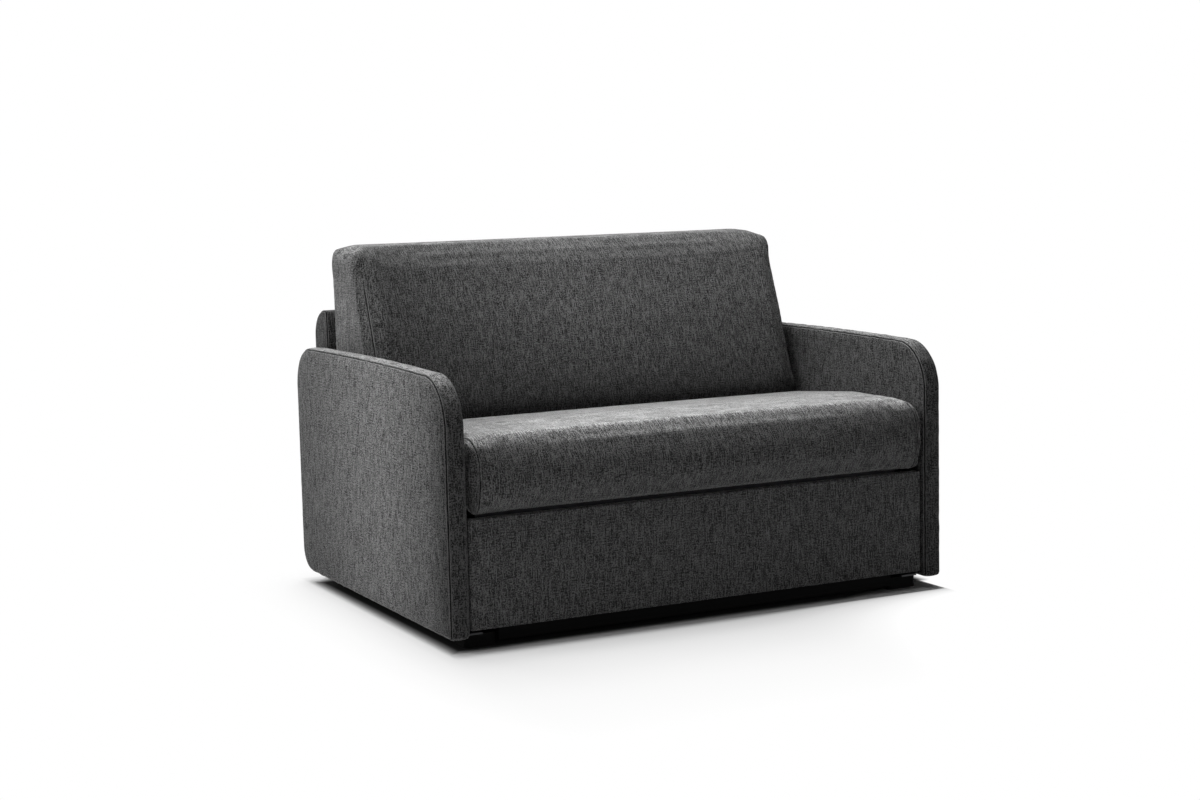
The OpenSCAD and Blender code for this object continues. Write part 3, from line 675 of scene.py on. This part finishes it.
def clouded(name, tone, low, high, surface, relief_grain, relief):
    """An even finish between two colours: tone and relief_grain set their noises, surface the rest."""
    s = Shader(name)
    vector = s.vector(*s.place()[0])
    cloud = s.grain(vector, **tone)
    s.feed_all(s.surface, Base_Color=s.ramp(cloud, ((0.3, low), (0.7, high))), **surface(cloud))
    s.relief(s.grain(vector, **relief_grain), *relief)
    return s.material


def powder_coat(name, colour):
    """Powder-coated steel with a faint orange peel and dust-rubbed tone."""
    return clouded(name, {"scale": 14.0, "detail": 5.0, "roughness": 0.6}, [c * 0.82 for c in colour],
                   [c * 1.18 for c in colour], lambda cloud: {"Roughness": 0.34 + cloud * 0.2},
                   {"scale": 900.0}, (0.00015, 0.35))


def zinc_plate(name, dull, bright):
    """Zinc-plated steel with a clouded bloom."""
    return clouded(name, {"scale": 160.0, "detail": 3.0}, dull, bright,
                   lambda cloud: {"Metallic": 1.0, "Roughness": 0.24 + cloud * 0.22},
                   {"scale": 1500.0}, (0.00006, 0.4))


def moulded_plastic(name, colour):
    """Moulded plastic with a fine spark-eroded grain."""
    return clouded(name, {"scale": 60.0, "detail": 4.0}, [c * 0.8 for c in colour],
                   [c * 1.25 for c in colour], lambda _: {"Roughness": 0.8, "Specular_IOR_Level": 0.08},
                   {"scale": 1400.0, "detail": 1.0}, (0.0002, 0.5))


# How each piece's cloth differs: shade of its yarns, which differs between pieces of one fabric as painted
# light and shade, strength of the brushed patches, sheen and its spread, painted highlight on faces that lie
# flat, and strength of the weave
FABRICS = {
    "arm fabric": {"shade": 2.2, "brushed": 3.2, "sheen": 0.15, "painted_top_share": 0.5, "coarse": 1.5},
    "seat fabric": {"shade": 1.5, "brushed": 0.7, "sheen": 1.0, "painted_top_share": 2.8, "fuzz": 0.25},
    "back fabric": {"shade": 2.55, "brushed": 0.5, "sheen": 0.12, "painted_top_share": 0.0, "coarse": 0.85},
    "shell fabric": {"shade": 1.9, "brushed": 0.5, "sheen": 0.1, "painted_top_share": 0.0},
    "panel fabric": {"shade": 1.5, "brushed": 0.6, "sheen": 0.5, "painted_top_share": 1.0},
}
MATERIALS = {}


def finish(name, context):
    """The material of a finish, made once."""
    if name not in MATERIALS:
        makers = {
            "ticking": lambda: ticking_cloth(name, context),
            "timber": lambda: wood(name, (0.56, 0.43, 0.28), (0.40, 0.27, 0.15), 0.012, 0.35),
            # Near-black: the timber is black-stained, and made so dark that it also stands in for the shade
            # under the sofa
            "black timber": lambda: wood(name, (0.006,) * 3, (0.003,) * 3, 0.012, 0.35, specular=0.04),
            "beech": lambda: wood(name, (0.66, 0.48, 0.31), (0.52, 0.35, 0.21), 0.006, 0.30),
            "steel": lambda: powder_coat(name, (0.035, 0.036, 0.040)),
            "zinc": lambda: zinc_plate(name, (0.46, 0.47, 0.49), (0.68, 0.68, 0.67)),
            "plastic": lambda: moulded_plastic(name, (0.008,) * 3),
        }
        MATERIALS[name] = chenille(name, context, **FABRICS[name]) if name in FABRICS else makers[name]()
    return MATERIALS[name]


def dress(obj, material, slot, body, *nodes):
    """Gives a piece its material, hides the nodes it stands for and puts it on the body it rides on; slot is
    not used.
    """
    obj.data.materials.clear()
    obj.data.materials.append(material)
    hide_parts(*nodes)
    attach(obj, body)
    return obj


# Covers of the carcass

ARM_RADII = (0.010, 0.115, 0.100, 0.065)

# Depth of the painted shade on the outer panel at shares of its length from the front: deeper at both ends,
# as though the panel rolled away there
ARM_END_SHADE = ((0.0, 0.03, 0.09, 0.24, 0.38, 0.60, 0.80, 1.0),
            (0.85, 0.76, 0.44, 0.20, 0.0, 0.14, 0.42, 0.62))

# Painted shade on the arms' front band, top, inner panel and the foot of the outer panel
ARM_PAINTED_SHADES = {"band": 0.78, "top": 0.12, "inside": 0.80, "foot": 0.28}


def arm_cover(context, side):
    """One arm's cover, panelled inside and out, with a band all round. side is 1 right, -1 left."""
    props = context.scene.sofa_covers
    name = "right_arm_cover" if side > 0 else "left_arm_cover"
    low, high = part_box(name)
    inner, outer = (low.x, high.x) if side > 0 else (high.x, low.x)
    thick = abs(outer - inner)

    def outline(inset):
        shape = rounded_box_outline((low.y, low.z), (high.y, high.z), ARM_RADII, inset,
                                    24, (110, 200, 100, 90))
        along = (shape[:, 0] - low.y) / (high.y - low.y)
        near_top = held((shape[:, 1] - high.z) / 0.16 + 1)
        shape[:, 1] += props.top_crown * near_top * np.sin(math.pi * held(along))
        return shape

    def to_row(shape, places):
        return [(inner + side * t, y, z) for (y, z), t in zip(shape, places)]

    across = band_profile(thick, props.edge_round, props.seam_depth, 0.0008)
    cover = boxed_cover(name + "_fabric", outline, across, to_row, props.panel_crown, props.pucker, 5 + side)
    co = coords(cover)
    keep = abs(inner) - 0.0012
    co[:, 0] = np.where(np.abs(co[:, 0]) < keep, np.sign(co[:, 0]) * keep, co[:, 0])
    put_coords(cover, co)
    nrm = normals(cover)
    along = (co[:, 1] - low.y) / (high.y - low.y)
    outward = side * nrm[:, 0]
    # Painted shade stored for the fabric: on the band, top and inner panel by facing, and on the outer panel
    # towards its ends and foot
    painted_roll_shade = np.interp(along, *ARM_END_SHADE) + ARM_PAINTED_SHADES["foot"] * (1 - co[:, 2] / high.z)
    shade = sum(amount * held(facing) ** 2 for amount, facing in (
        (ARM_PAINTED_SHADES["band"], -nrm[:, 1]), (ARM_PAINTED_SHADES["top"], nrm[:, 2]),
        (ARM_PAINTED_SHADES["inside"], -outward), (painted_roll_shade, outward)))
    mark(cover, "painted_shade", np.clip(shade, 0, 0.95))
    return dress(cover, finish("arm fabric", context), "fabric_light", "carcass", name)


class SOFA_OT_arm_covers(bpy.types.Operator):
    """Sews the two arm covers"""

    bl_idname = "sofa.arm_covers"
    bl_label = "Arm covers"

    def execute(self, context):
        for side in (-1, 1):
            arm_cover(context, side)
        return {"FINISHED"}


class SOFA_OT_front_panel(bpy.types.Operator):
    """Covers the fixed front panel"""

    bl_idname = "sofa.front_panel"
    bl_label = "Front panel cover"

    def execute(self, context):
        low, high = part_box("fascia_cover")
        corner = 0.006

        def outline(inset):
            return rounded_box_outline((low.x, low.z), (high.x, high.z), (corner,) * 4, inset, 6,
                                       (60, 180, 60, 180))

        def to_row(shape, places):
            return [(x, low.y + t, z) for (x, z), t in zip(shape, places)]

        thick = high.y - low.y
        turn = 0.0045
        bend = [(turn - turn * math.cos(a), turn - turn * math.sin(a), 0.0)
                for a in (math.radians(15 * k) for k in range(7))]
        across = [*bend, (thick * 0.5, 0.0, 0.0), *((thick - t, i, s) for t, i, s in reversed(bend))]
        cover = boxed_cover("front_panel_fabric", outline, across, to_row, 0.0016, 0.0003, 31)
        dress(cover, finish("panel fabric", context), "fabric_mid", "carcass", "fascia_cover")
        return {"FINISHED"}


class SOFA_OT_back_shell(bpy.types.Operator):
    """Covers the fixed back shell between the arms"""

    bl_idname = "sofa.back_shell"
    bl_label = "Back shell cover"

    def execute(self, context):
        props = context.scene.sofa_covers
        low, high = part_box("back_cover")
        radii = (0.008, 0.010, 0.072, 0.008)
        half = high.x - 0.0016

        def outline(inset):
            return rounded_box_outline((low.y, low.z), (high.y, high.z), radii, inset, 14,
                                       (80, 8, 60, 8))

        def to_row(shape, places):
            return [(-half + t, y, z) for (y, z), t in zip(shape, places)]

        across = band_profile(2 * half, 0.006, props.seam_depth * 0.8, 0.0)
        cover = boxed_cover("back_shell_fabric", outline, across, to_row, 0.0, 0.0003, 47)
        nrm = normals(cover)
        # Painted shade on every face of the shell but the rear
        mark(cover, "painted_shade", 0.66 * held(1 - 2 * held(nrm[:, 1]) ** 2))
        dress(cover, finish("shell fabric", context), "fabric_mid", "carcass", "back_cover")
        return {"FINISHED"}


# Cushions


def round_fall(r, d):
    """How far a quarter round of radius r has fallen at the distance d from its end."""
    return 0.0 if d >= r else r - math.sqrt(max(0.0, r * r - (r - d) ** 2))


def stations(half, end, spans=40):
    """X places along a cushion: close together over its rounded ends, even between them."""
    fine = [half - end * (1 - math.cos(math.radians(90 * k / 8))) for k in range(9)]
    even = [(half - end) * (2 * k / spans - 1) for k in range(1, spans)]
    return [-x for x in fine] + even + fine[::-1]


# Radius that a cushion's sides, and its top, are rounded with at both ends
END_ROUND, TOP_ROUND = 0.004, 0.008


def cushion_form(name, half, outline, count=220):
    """A lofted cushion: YZ outlines along X, drawn in over its rounded ends."""
    rings = []
    for x in stations(half, END_ROUND):
        d = half - abs(x)
        shape = rounded_outline(outline(x, round_fall(TOP_ROUND, d)), round_fall(END_ROUND, d))
        rings.append([(x, y, z) for y, z in resampled(shape, count)])
    return loft(name, rings)


def seam_ring(obj, places, depth, where=None):
    """Draws the cover in along planes across X, and marks the seam and the lips beside it."""
    steps = (0.0, 0.0006, 0.0014, 0.0028, 0.0044)
    pulls, marks = (1.0, 1.0, 0.3, -0.25, 0.0), (1.0, 1.0, 0.0, -1.0, 0.0)
    slice_planes(obj, [x + d for x in places for d in (*[-k for k in steps[:0:-1]], *steps)])
    co, nrm = coords(obj), normals(obj)
    near = np.min([np.abs(co[:, 0] - x) for x in places], axis=0)
    across = 1 - held(np.abs(nrm[:, 0]) * 1.6 - 0.6)
    share = across if where is None else across * where(co)
    put_coords(obj, co - nrm * (depth * np.interp(near, steps, pulls) * share)[:, None])
    set_seams(obj, np.interp(near, steps, marks) * share)


# Painted shade on the seat's top at places along X: deeper towards both arms
SEAT_TOP_PAINTED_SHADE = ((-0.6, -0.4, 0.2, 0.45, 0.6), (0.12, 0.0, 0.0, 0.22, 0.40))


class SOFA_OT_seat_cushion(bpy.types.Operator):
    """Makes and fills the seat cushion"""

    bl_idname = "sofa.seat_cushion"
    bl_label = "Seat cushion"

    def execute(self, context):
        depth = context.scene.sofa_covers.seam_depth
        low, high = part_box("seat_cushion")
        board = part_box("seat_board")[0]
        half, base, top, rear = high.x + 0.003, low.z, high.z, high.y - 0.001
        fall, crown, proud, tuck, lip = 0.031, 0.002, 0.001, 0.016, 0.004

        def outline(x, drop):
            k = abs(x) / half
            crest = top - crown * k * k - drop
            nose = low.y + proud + 0.005 * k ** 6
            return [(nose + tuck, base - lip, 0.012), (nose, base + 0.06, 0.09), (nose, crest - 0.002, 0.060),
                    (low.y + 0.24, crest, 0.5), (rear, crest - fall, 0.022), (rear, base, 0.016)]

        cushion = cushion_form("seat_cushion_fabric", half, outline)

        def hold(co):
            least = np.interp(co[:, 1], (board.y - 0.010, board.y - 0.002), (base - lip, base))
            co[:, 2] = np.maximum(co[:, 2], least)
            co[:, 1] = np.minimum(co[:, 1], rear + 0.0005)
            co[:, 0] = np.clip(co[:, 0], -half - 0.006, half + 0.006)
            return co

        pass_through_cloth(cushion, context.scene.sofa_bedding, hold)
        seam_ring(cushion, (-half + 0.018, half - 0.018), depth)
        co, nrm = coords(cushion), normals(cushion)
        # Painted shade on the seat's ends beyond the seams, and on its top towards both arms
        painted_end_shade = 0.5 * (np.abs(co[:, 0]) > half - 0.018) * held(1 - nrm[:, 2])
        painted_top_shade = np.interp(co[:, 0], *SEAT_TOP_PAINTED_SHADE)
        mark(cushion, "painted_shade", np.maximum(painted_end_shade, painted_top_shade * held(nrm[:, 2])))
        dress(cushion, finish("seat fabric", context), "fabric_light", "middle_section", "seat_cushion")
        return {"FINISHED"}


# Painted shade on the back's front at places along X and on its ends at heights, on its rolled top edge, and
# how far the painted shade over the crease above the seat reaches
BACK_LEFT_PAINTED_SHADE = ((-0.6, -0.5, -0.3, -0.05), (0.60, 0.54, 0.28, 0.0))
BACK_ENDS_PAINTED_SHADE = ((0.75, 0.87), (0.2, 0.45))
ROLL_PAINTED_SHADE, PAINTED_CREASE_REACH = 0.70, 0.12


class SOFA_OT_back_cushion(bpy.types.Operator):
    """Makes and fills the back cushion with its border round the folded mattress"""

    bl_idname = "sofa.back_cushion"
    bl_label = "Back cushion"

    def execute(self, context):
        depth = context.scene.sofa_covers.seam_depth
        low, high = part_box("back_cushion")
        wrap_low, wrap_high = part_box("back_border")
        board_low, board_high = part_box("back_board")
        bed_low, bed_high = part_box("foot_mattress")
        rail_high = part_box("foot_side_rails")[1]
        seat_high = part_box("seat_cushion")[1]
        half, base, top = high.x - 0.001, low.z, high.z
        toe, rear, seat_top = seat_high.y + 0.004, wrap_high.y - 0.001, seat_high.z
        belly, lean = 0.014, 0.147
        seam_top = top - 0.075

        def outline(x, drop):
            k = abs(x) / half
            crest = top - drop
            belly_z = seat_top - 0.014
            puff = 0.008 * (1 - k * k) - 0.004
            face_z = belly_z + (top - belly_z) * 0.52
            return [(rear, base, 0.003), (toe, base, 0.010), (toe, belly_z - belly, 0.010),
                    (toe - belly, belly_z, 0.018), (toe - belly + lean * 0.52 - puff - 0.008, face_z, 0.3),
                    (toe - belly + lean, crest - 0.006, 0.042), (rear, crest, 0.030)]

        cushion = cushion_form("back_cushion_fabric", half, outline)

        bend = 0.008
        turn_x, turn_z = board_high.x - bend, board_high.z - bend

        def hold(co):
            co[:, 2] = np.maximum(co[:, 2], base)
            co[:, 1] = np.minimum(co[:, 1], rear + 0.002)
            co[:, 0] = np.clip(co[:, 0], -half - 0.006, half + 0.006)
            past_x, past_z = np.abs(co[:, 0]) - turn_x, co[:, 2] - turn_z
            out = np.maximum((bend + 0.004) / np.maximum(np.hypot(past_x, past_z), 1e-6), 1)
            corner = (past_x > 0) & (past_z > 0) & (np.abs(co[:, 1] - board_low.y) < 0.03)
            co[:, 0] = np.where(corner, np.sign(co[:, 0]) * (turn_x + past_x * out), co[:, 0])
            co[:, 2] = np.where(corner, turn_z + past_z * out, co[:, 2])
            return co

        pass_through_cloth(cushion, context.scene.sofa_bedding, hold)
        wall = half - 0.0045
        past = 0.1
        cut_out(cushion, (
            ((-wall, board_high.y, base - past), (wall, rail_high.y + 0.002, rail_high.z + 0.004)),
            ((-wall, bed_low.y, base - past), (wall, rear + past, bed_high.z + 0.004)),
            *(((-turn_x - bend * across - 0.0004, board_low.y - 0.0003, base - past),
               (turn_x + bend * across + 0.0004, board_high.y + 0.0004, turn_z + bend * up + 0.0004))
              for across, up in ((0.0, 1.0), (0.71, 0.71), (1.0, 0.0))),
            ((-1.0, board_high.y, base - past), (1.0, rear + past, wrap_low.z)),
        ))
        seam_ring(cushion, (-half + 0.011, half - 0.011), depth,
                  where=lambda co: (co[:, 1] < board_low.y) * held((seam_top - co[:, 2]) / 0.03))
        co, nrm = coords(cushion), normals(cushion)
        front = co[:, 1] < board_low.y
        # Painted shade: above the seat's crease, on the ends, towards the left arm and on the rolled top edge
        shade = front * np.exp(-np.abs(co[:, 2] - seat_top) / PAINTED_CREASE_REACH) * (1.0 - 0.1 * co[:, 0] / half)
        painted_end_shade = np.interp(co[:, 2], *BACK_ENDS_PAINTED_SHADE) * held(np.abs(nrm[:, 0]) * 2 - 1)
        near_left = front * np.interp(co[:, 0], *BACK_LEFT_PAINTED_SHADE) * held(-nrm[:, 1] * 2)
        painted_roll_shade = front * ROLL_PAINTED_SHADE * held((nrm[:, 2] - 0.42) / 0.25) * held((0.95 - nrm[:, 2]) / 0.35)
        light = (1 - held(shade)) * (1 - painted_end_shade) * (1 - near_left) * (1 - painted_roll_shade)
        mark(cushion, "painted_shade", 1 - light)
        dress(cushion, finish("back fabric", context), "fabric_mid", "foot_section",
              "back_cushion", "back_border")
        return {"FINISHED"}


# Mattresses

# Size of the even mesh that a mattress is quilted on
SLAB_VOXEL = 0.0065


def mattress(context, node, body, thin, name):
    """A quilted foam slab that fills its node's box; thin is the axis of its thickness."""
    props = context.scene.sofa_bedding
    low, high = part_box(node)
    thick = high[thin] - low[thin]
    a_axis, b_axis = [i for i in range(3) if i != thin]
    edge, corner = 0.011, 0.036

    def outline(inset):
        return rounded_box_outline((low[a_axis], low[b_axis]), (high[a_axis], high[b_axis]), (corner,) * 4,
                                   inset, 10, (70, 120, 70, 120))

    def to_row(shape, places):
        rows = np.empty((len(shape), 3))
        rows[:, (a_axis, b_axis)], rows[:, thin] = shape, np.add(places, low[thin])
        return rows

    across = band_profile(thick, edge, 0.0025, 0.0)
    slab = boxed_cover(name, outline, across, to_row, 0.0, 0.0, 3)
    modify(slab, "REMESH", mode="VOXEL", voxel_size=SLAB_VOXEL)
    slab.data.shade_smooth()
    co, nrm = coords(slab), normals(slab)
    facing = held(np.abs(nrm[:, thin]) * 3 - 2)
    a, b = co[:, a_axis], co[:, b_axis]
    pitch = props.quilt_pitch
    one, two = np.abs(np.sin(math.pi * (a + b) / pitch)), np.abs(np.sin(math.pi * (a - b) / pitch))
    cell = np.minimum(one, two)
    groove = 0.0052 * np.exp(-(cell / 0.16) ** 2) + 0.0030 * (1 - np.minimum(1, cell * 1.6))
    put_coords(slab, co - nrm * (groove * facing)[:, None])
    set_seams(slab, held(1 - cell / 0.07) * facing)
    return dress(slab, finish("ticking", context), "ticking", body, node)


class SOFA_OT_mattresses(bpy.types.Operator):
    """Makes the three quilted mattress sections"""

    bl_idname = "sofa.mattresses"
    bl_label = "Mattresses"

    def execute(self, context):
        for part, thin in (("head", 2), ("middle", 2), ("foot", 1)):
            mattress(context, part + "_mattress", part + "_section", thin, part + "_mattress_ticking")
        return {"FINISHED"}


# Finishes of the CAD nodes


class SOFA_OT_frame_finishes(bpy.types.Operator):
    """Gives every piece of the frame, carcass and fittings its finish"""

    bl_idname = "sofa.frame_finishes"
    bl_label = "Frame finishes"

    def execute(self, context):
        finishes = {"timber_black": "black timber", "fabric_light": "arm fabric", "fabric_mid": "back fabric"}
        for part in frame["record"]["subparts"]:
            mesh = frame["nodes"][part["node"]].data
            mesh.materials.clear()
            slot = part["material_slot"]
            # The seat board under the cushion gets the near-black timber as painted shade
            chosen = "black timber" if part["node"] == "seat_board" else finishes.get(slot, slot)
            mesh.materials.append(finish(chosen, context))
        return {"FINISHED"}


# Studio


def white_to_camera(tree, lit, white):
    """Mixes to plain white for rays from the camera, and for what metal and glass reflect."""
    path, mix = tree.nodes.new("ShaderNodeLightPath"), tree.nodes.new("ShaderNodeMixShader")
    total = path.outputs["Is Camera Ray"]
    for name in ("Is Glossy Ray", "Is Transmission Ray"):
        node = tree.nodes.new("ShaderNodeMath")
        node.operation = "MAXIMUM"
        tree.links.new(total, node.inputs[0])
        tree.links.new(path.outputs[name], node.inputs[1])
        total = node.outputs[0]
    for source, socket in zip((total, lit, white), mix.inputs):
        tree.links.new(source, socket)
    return mix.outputs[0]


# How far the sofa's grey reaches on the floor: to the right, to the left, behind and in front
REACH_RIGHT, REACH_LEFT, REACH_REAR, REACH_FRONT = 0.08, 0.20, 0.20, 0.75

# How much shorter it reaches towards the right
RIGHT_LOSS = 45.0

# Share of plain white at shares of that reach
WHITE_SHARE = ((0.0, 0.0), (1.0, 1.0), (0.05, 0.44), (0.2, 0.64), (0.6, 0.87))

# Painted shadow: colour of the floor under the sofa, and its soft edge
PAINTED_SHADOW_COLOUR = (0.01,) * 3
PAINTED_SHADOW_EDGE = (-0.004, 0.035)


def beyond(s, x, y):
    """How far a floor point lies outside the sofa's outline, as a share of the grey's reach there."""
    total = 0.0
    for place, edge, ahead, behind in ((x, CAD_BOX[1].x, REACH_RIGHT, REACH_LEFT),
                                       (y, CAD_BOX[1].y, REACH_REAR, REACH_FRONT)):
        for way, far in ((1.0, ahead), (-1.0, behind)):
            out = (place * way - edge) / far
            total = total + s.maths("POWER", s.maths("MAXIMUM", out, 0.0), 2.0)
    rightward = s.maths("POWER", s.maths("MAXIMUM", x, 0.0), 3.0)
    return s.maths("SQRT", total) * (1.0 + rightward * RIGHT_LOSS)


def painted_shadow_under_sofa(s, x, y):
    """1 on the floor that is painted dark under the sofa as its shadow, 0 outside; the edge draws back behind
    and at the front right.
    """
    right_edge = ARM_HIGH.x + s.maths("MINIMUM", s.maths("MAXIMUM", y + 0.43, 0.0), 0.035)
    front_edge = ARM_LOW.y + 0.28 * s.maths("MAXIMUM", x - 0.40, 0.0)
    depth = s.maths("MINIMUM", right_edge - x, ARM_HIGH.x + x)
    for inward in (y - front_edge, ARM_HIGH.y - 0.05 - y):
        depth = s.maths("MINIMUM", depth, inward)
    return s.smoothly(depth, *PAINTED_SHADOW_EDGE)


def floor_material():
    """A white floor that is lit near the sofa, painted dark under it as its shadow, and turns to plain white
    away from it.
    """
    s = Shader("studio floor")
    (x, y, z), _ = s.place()
    speck = s.grain(s.vector(x, y, z), scale=40.0)
    open_floor = s.ramp(speck, ((0.0, (0.79,) * 3), (1.0, (0.81,) * 3)))
    painted_shadow = painted_shadow_under_sofa(s, x, y)
    s.feed_all(s.surface, Base_Color=s.blend(painted_shadow, open_floor, PAINTED_SHADOW_COLOUR), Roughness=0.9,
               Specular_IOR_Level=0.1)
    ease = s.ramp(beyond(s, x, y), [(at, (share,) * 3) for at, share in WHITE_SHARE]) * (1.0 - painted_shadow)
    white = s.add("ShaderNodeEmission")
    blend = s.add("ShaderNodeMixShader")
    s.feed(blend.inputs[0], ease)
    s.link(s.surface.outputs["BSDF"], blend.inputs[1])
    s.link(white_to_camera(s.tree, s.surface.outputs["BSDF"], white.outputs[0]), blend.inputs[2])
    s.link(blend.outputs[0], s.out.inputs["Surface"])
    return s.material


# What the soft lights are aimed at
AIM = Vector((0.0, 0.05, 0.4))


def soft_light(name, place, width, height, power):
    """A rectangular soft light aimed at the sofa."""
    data = bpy.data.lights.new(name, "AREA")
    data.shape = "RECTANGLE"
    data.size, data.size_y = width, height
    data.energy = power
    light = bpy.data.objects.new(name, data)
    light.location = place
    light.rotation_euler = (AIM - light.location).to_track_quat("-Z", "Y").to_euler()
    bpy.context.scene.collection.objects.link(light)


class SOFA_OT_studio(bpy.types.Operator):
    """Sets up the white studio, its soft lights and the camera"""

    bl_idname = "sofa.studio"
    bl_label = "Studio"

    def execute(self, context):
        scene, props = context.scene, context.scene.sofa_studio
        scene.view_settings.view_transform = "Standard"
        camera = bpy.data.objects.new("camera", bpy.data.cameras.new("camera"))
        camera.data.sensor_width = 36.0
        camera.data.lens = props.lens
        camera.data.clip_end = 100.0
        yaw, pitch = props.yaw, props.pitch
        ahead = Vector((math.sin(yaw) * math.cos(pitch), math.cos(yaw) * math.cos(pitch), -math.sin(pitch)))
        level = Vector((math.cos(yaw), -math.sin(yaw), 0.0))
        above = level.cross(ahead)
        right = math.cos(props.roll) * level + math.sin(props.roll) * above
        up = -math.sin(props.roll) * level + math.cos(props.roll) * above
        turn = Matrix((right, up, -ahead)).transposed().to_4x4()
        camera.matrix_world = Matrix.Translation(Vector(props.camera_place)) @ turn
        scene.collection.objects.link(camera)
        scene.camera = camera

        reach = 30.0
        floor = mesh_object("studio_floor", [(-reach, -reach, 0), (reach, -reach, 0), (reach, reach, 0),
                                             (-reach, reach, 0)], [(0, 1, 2, 3)])
        floor.data.materials.append(floor_material())

        world = bpy.data.worlds.new("studio")
        scene.world = world
        world.use_nodes = True
        tree = world.node_tree
        tree.nodes.clear()
        out = tree.nodes.new("ShaderNodeOutputWorld")
        lit = tree.nodes.new("ShaderNodeBackground")
        lit.inputs["Strength"].default_value = props.ambient
        white = tree.nodes.new("ShaderNodeBackground")
        white.inputs["Color"].default_value = (1, 1, 1, 1)
        tree.links.new(white_to_camera(tree, lit.outputs[0], white.outputs[0]), out.inputs["Surface"])

        soft_light("overhead", (-0.2, 0.3, 3.2), 3.0, 2.4, props.overhead)
        soft_light("rear", (-0.3, 2.2, 2.8), 3.0, 2.0, props.rear)
        soft_light("left", (-3.3, 0.2, 2.4), 2.2, 1.8, props.left)
        return {"FINISHED"}


class SOFA_PT_upholstery(bpy.types.Panel):
    """Lists the steps that dress the sofa bed"""

    bl_label = "Sofa Bed"
    bl_idname = "SOFA_PT_upholstery"
    bl_space_type = "VIEW_3D"
    bl_region_type = "UI"
    bl_category = "Sofa Bed"

    def draw(self, context):
        for step in STEPS:
            self.layout.operator(step.bl_idname, text=step.bl_label)
        for group in GROUPS:
            box = self.layout.box()
            for name in GROUPS[group].__annotations__:
                box.prop(getattr(context.scene, group), name)


STEPS = (SOFA_OT_studio, SOFA_OT_frame_finishes, SOFA_OT_arm_covers, SOFA_OT_front_panel, SOFA_OT_back_shell,
         SOFA_OT_seat_cushion, SOFA_OT_back_cushion, SOFA_OT_mattresses)
GROUPS = {"sofa_fabric": SofaFabric, "sofa_covers": SofaCovers, "sofa_bedding": SofaBedding,
          "sofa_studio": SofaStudio}
CLASSES = (*GROUPS.values(), *STEPS, SOFA_PT_upholstery)


def register():
    for cls in CLASSES:
        bpy.utils.register_class(cls)
    for name, cls in GROUPS.items():
        setattr(bpy.types.Scene, name, PointerProperty(type=cls))


def unregister():
    for name in GROUPS:
        delattr(bpy.types.Scene, name)
    for cls in reversed(CLASSES):
        bpy.utils.unregister_class(cls)


def main():
    register()
    bpy.ops.sofa.studio()
    bpy.ops.sofa.frame_finishes()
    bpy.ops.sofa.arm_covers()
    bpy.ops.sofa.front_panel()
    bpy.ops.sofa.back_shell()
    bpy.ops.sofa.seat_cushion()
    bpy.ops.sofa.back_cushion()
    bpy.ops.sofa.mattresses()


if __name__ == "__main__":
    main()
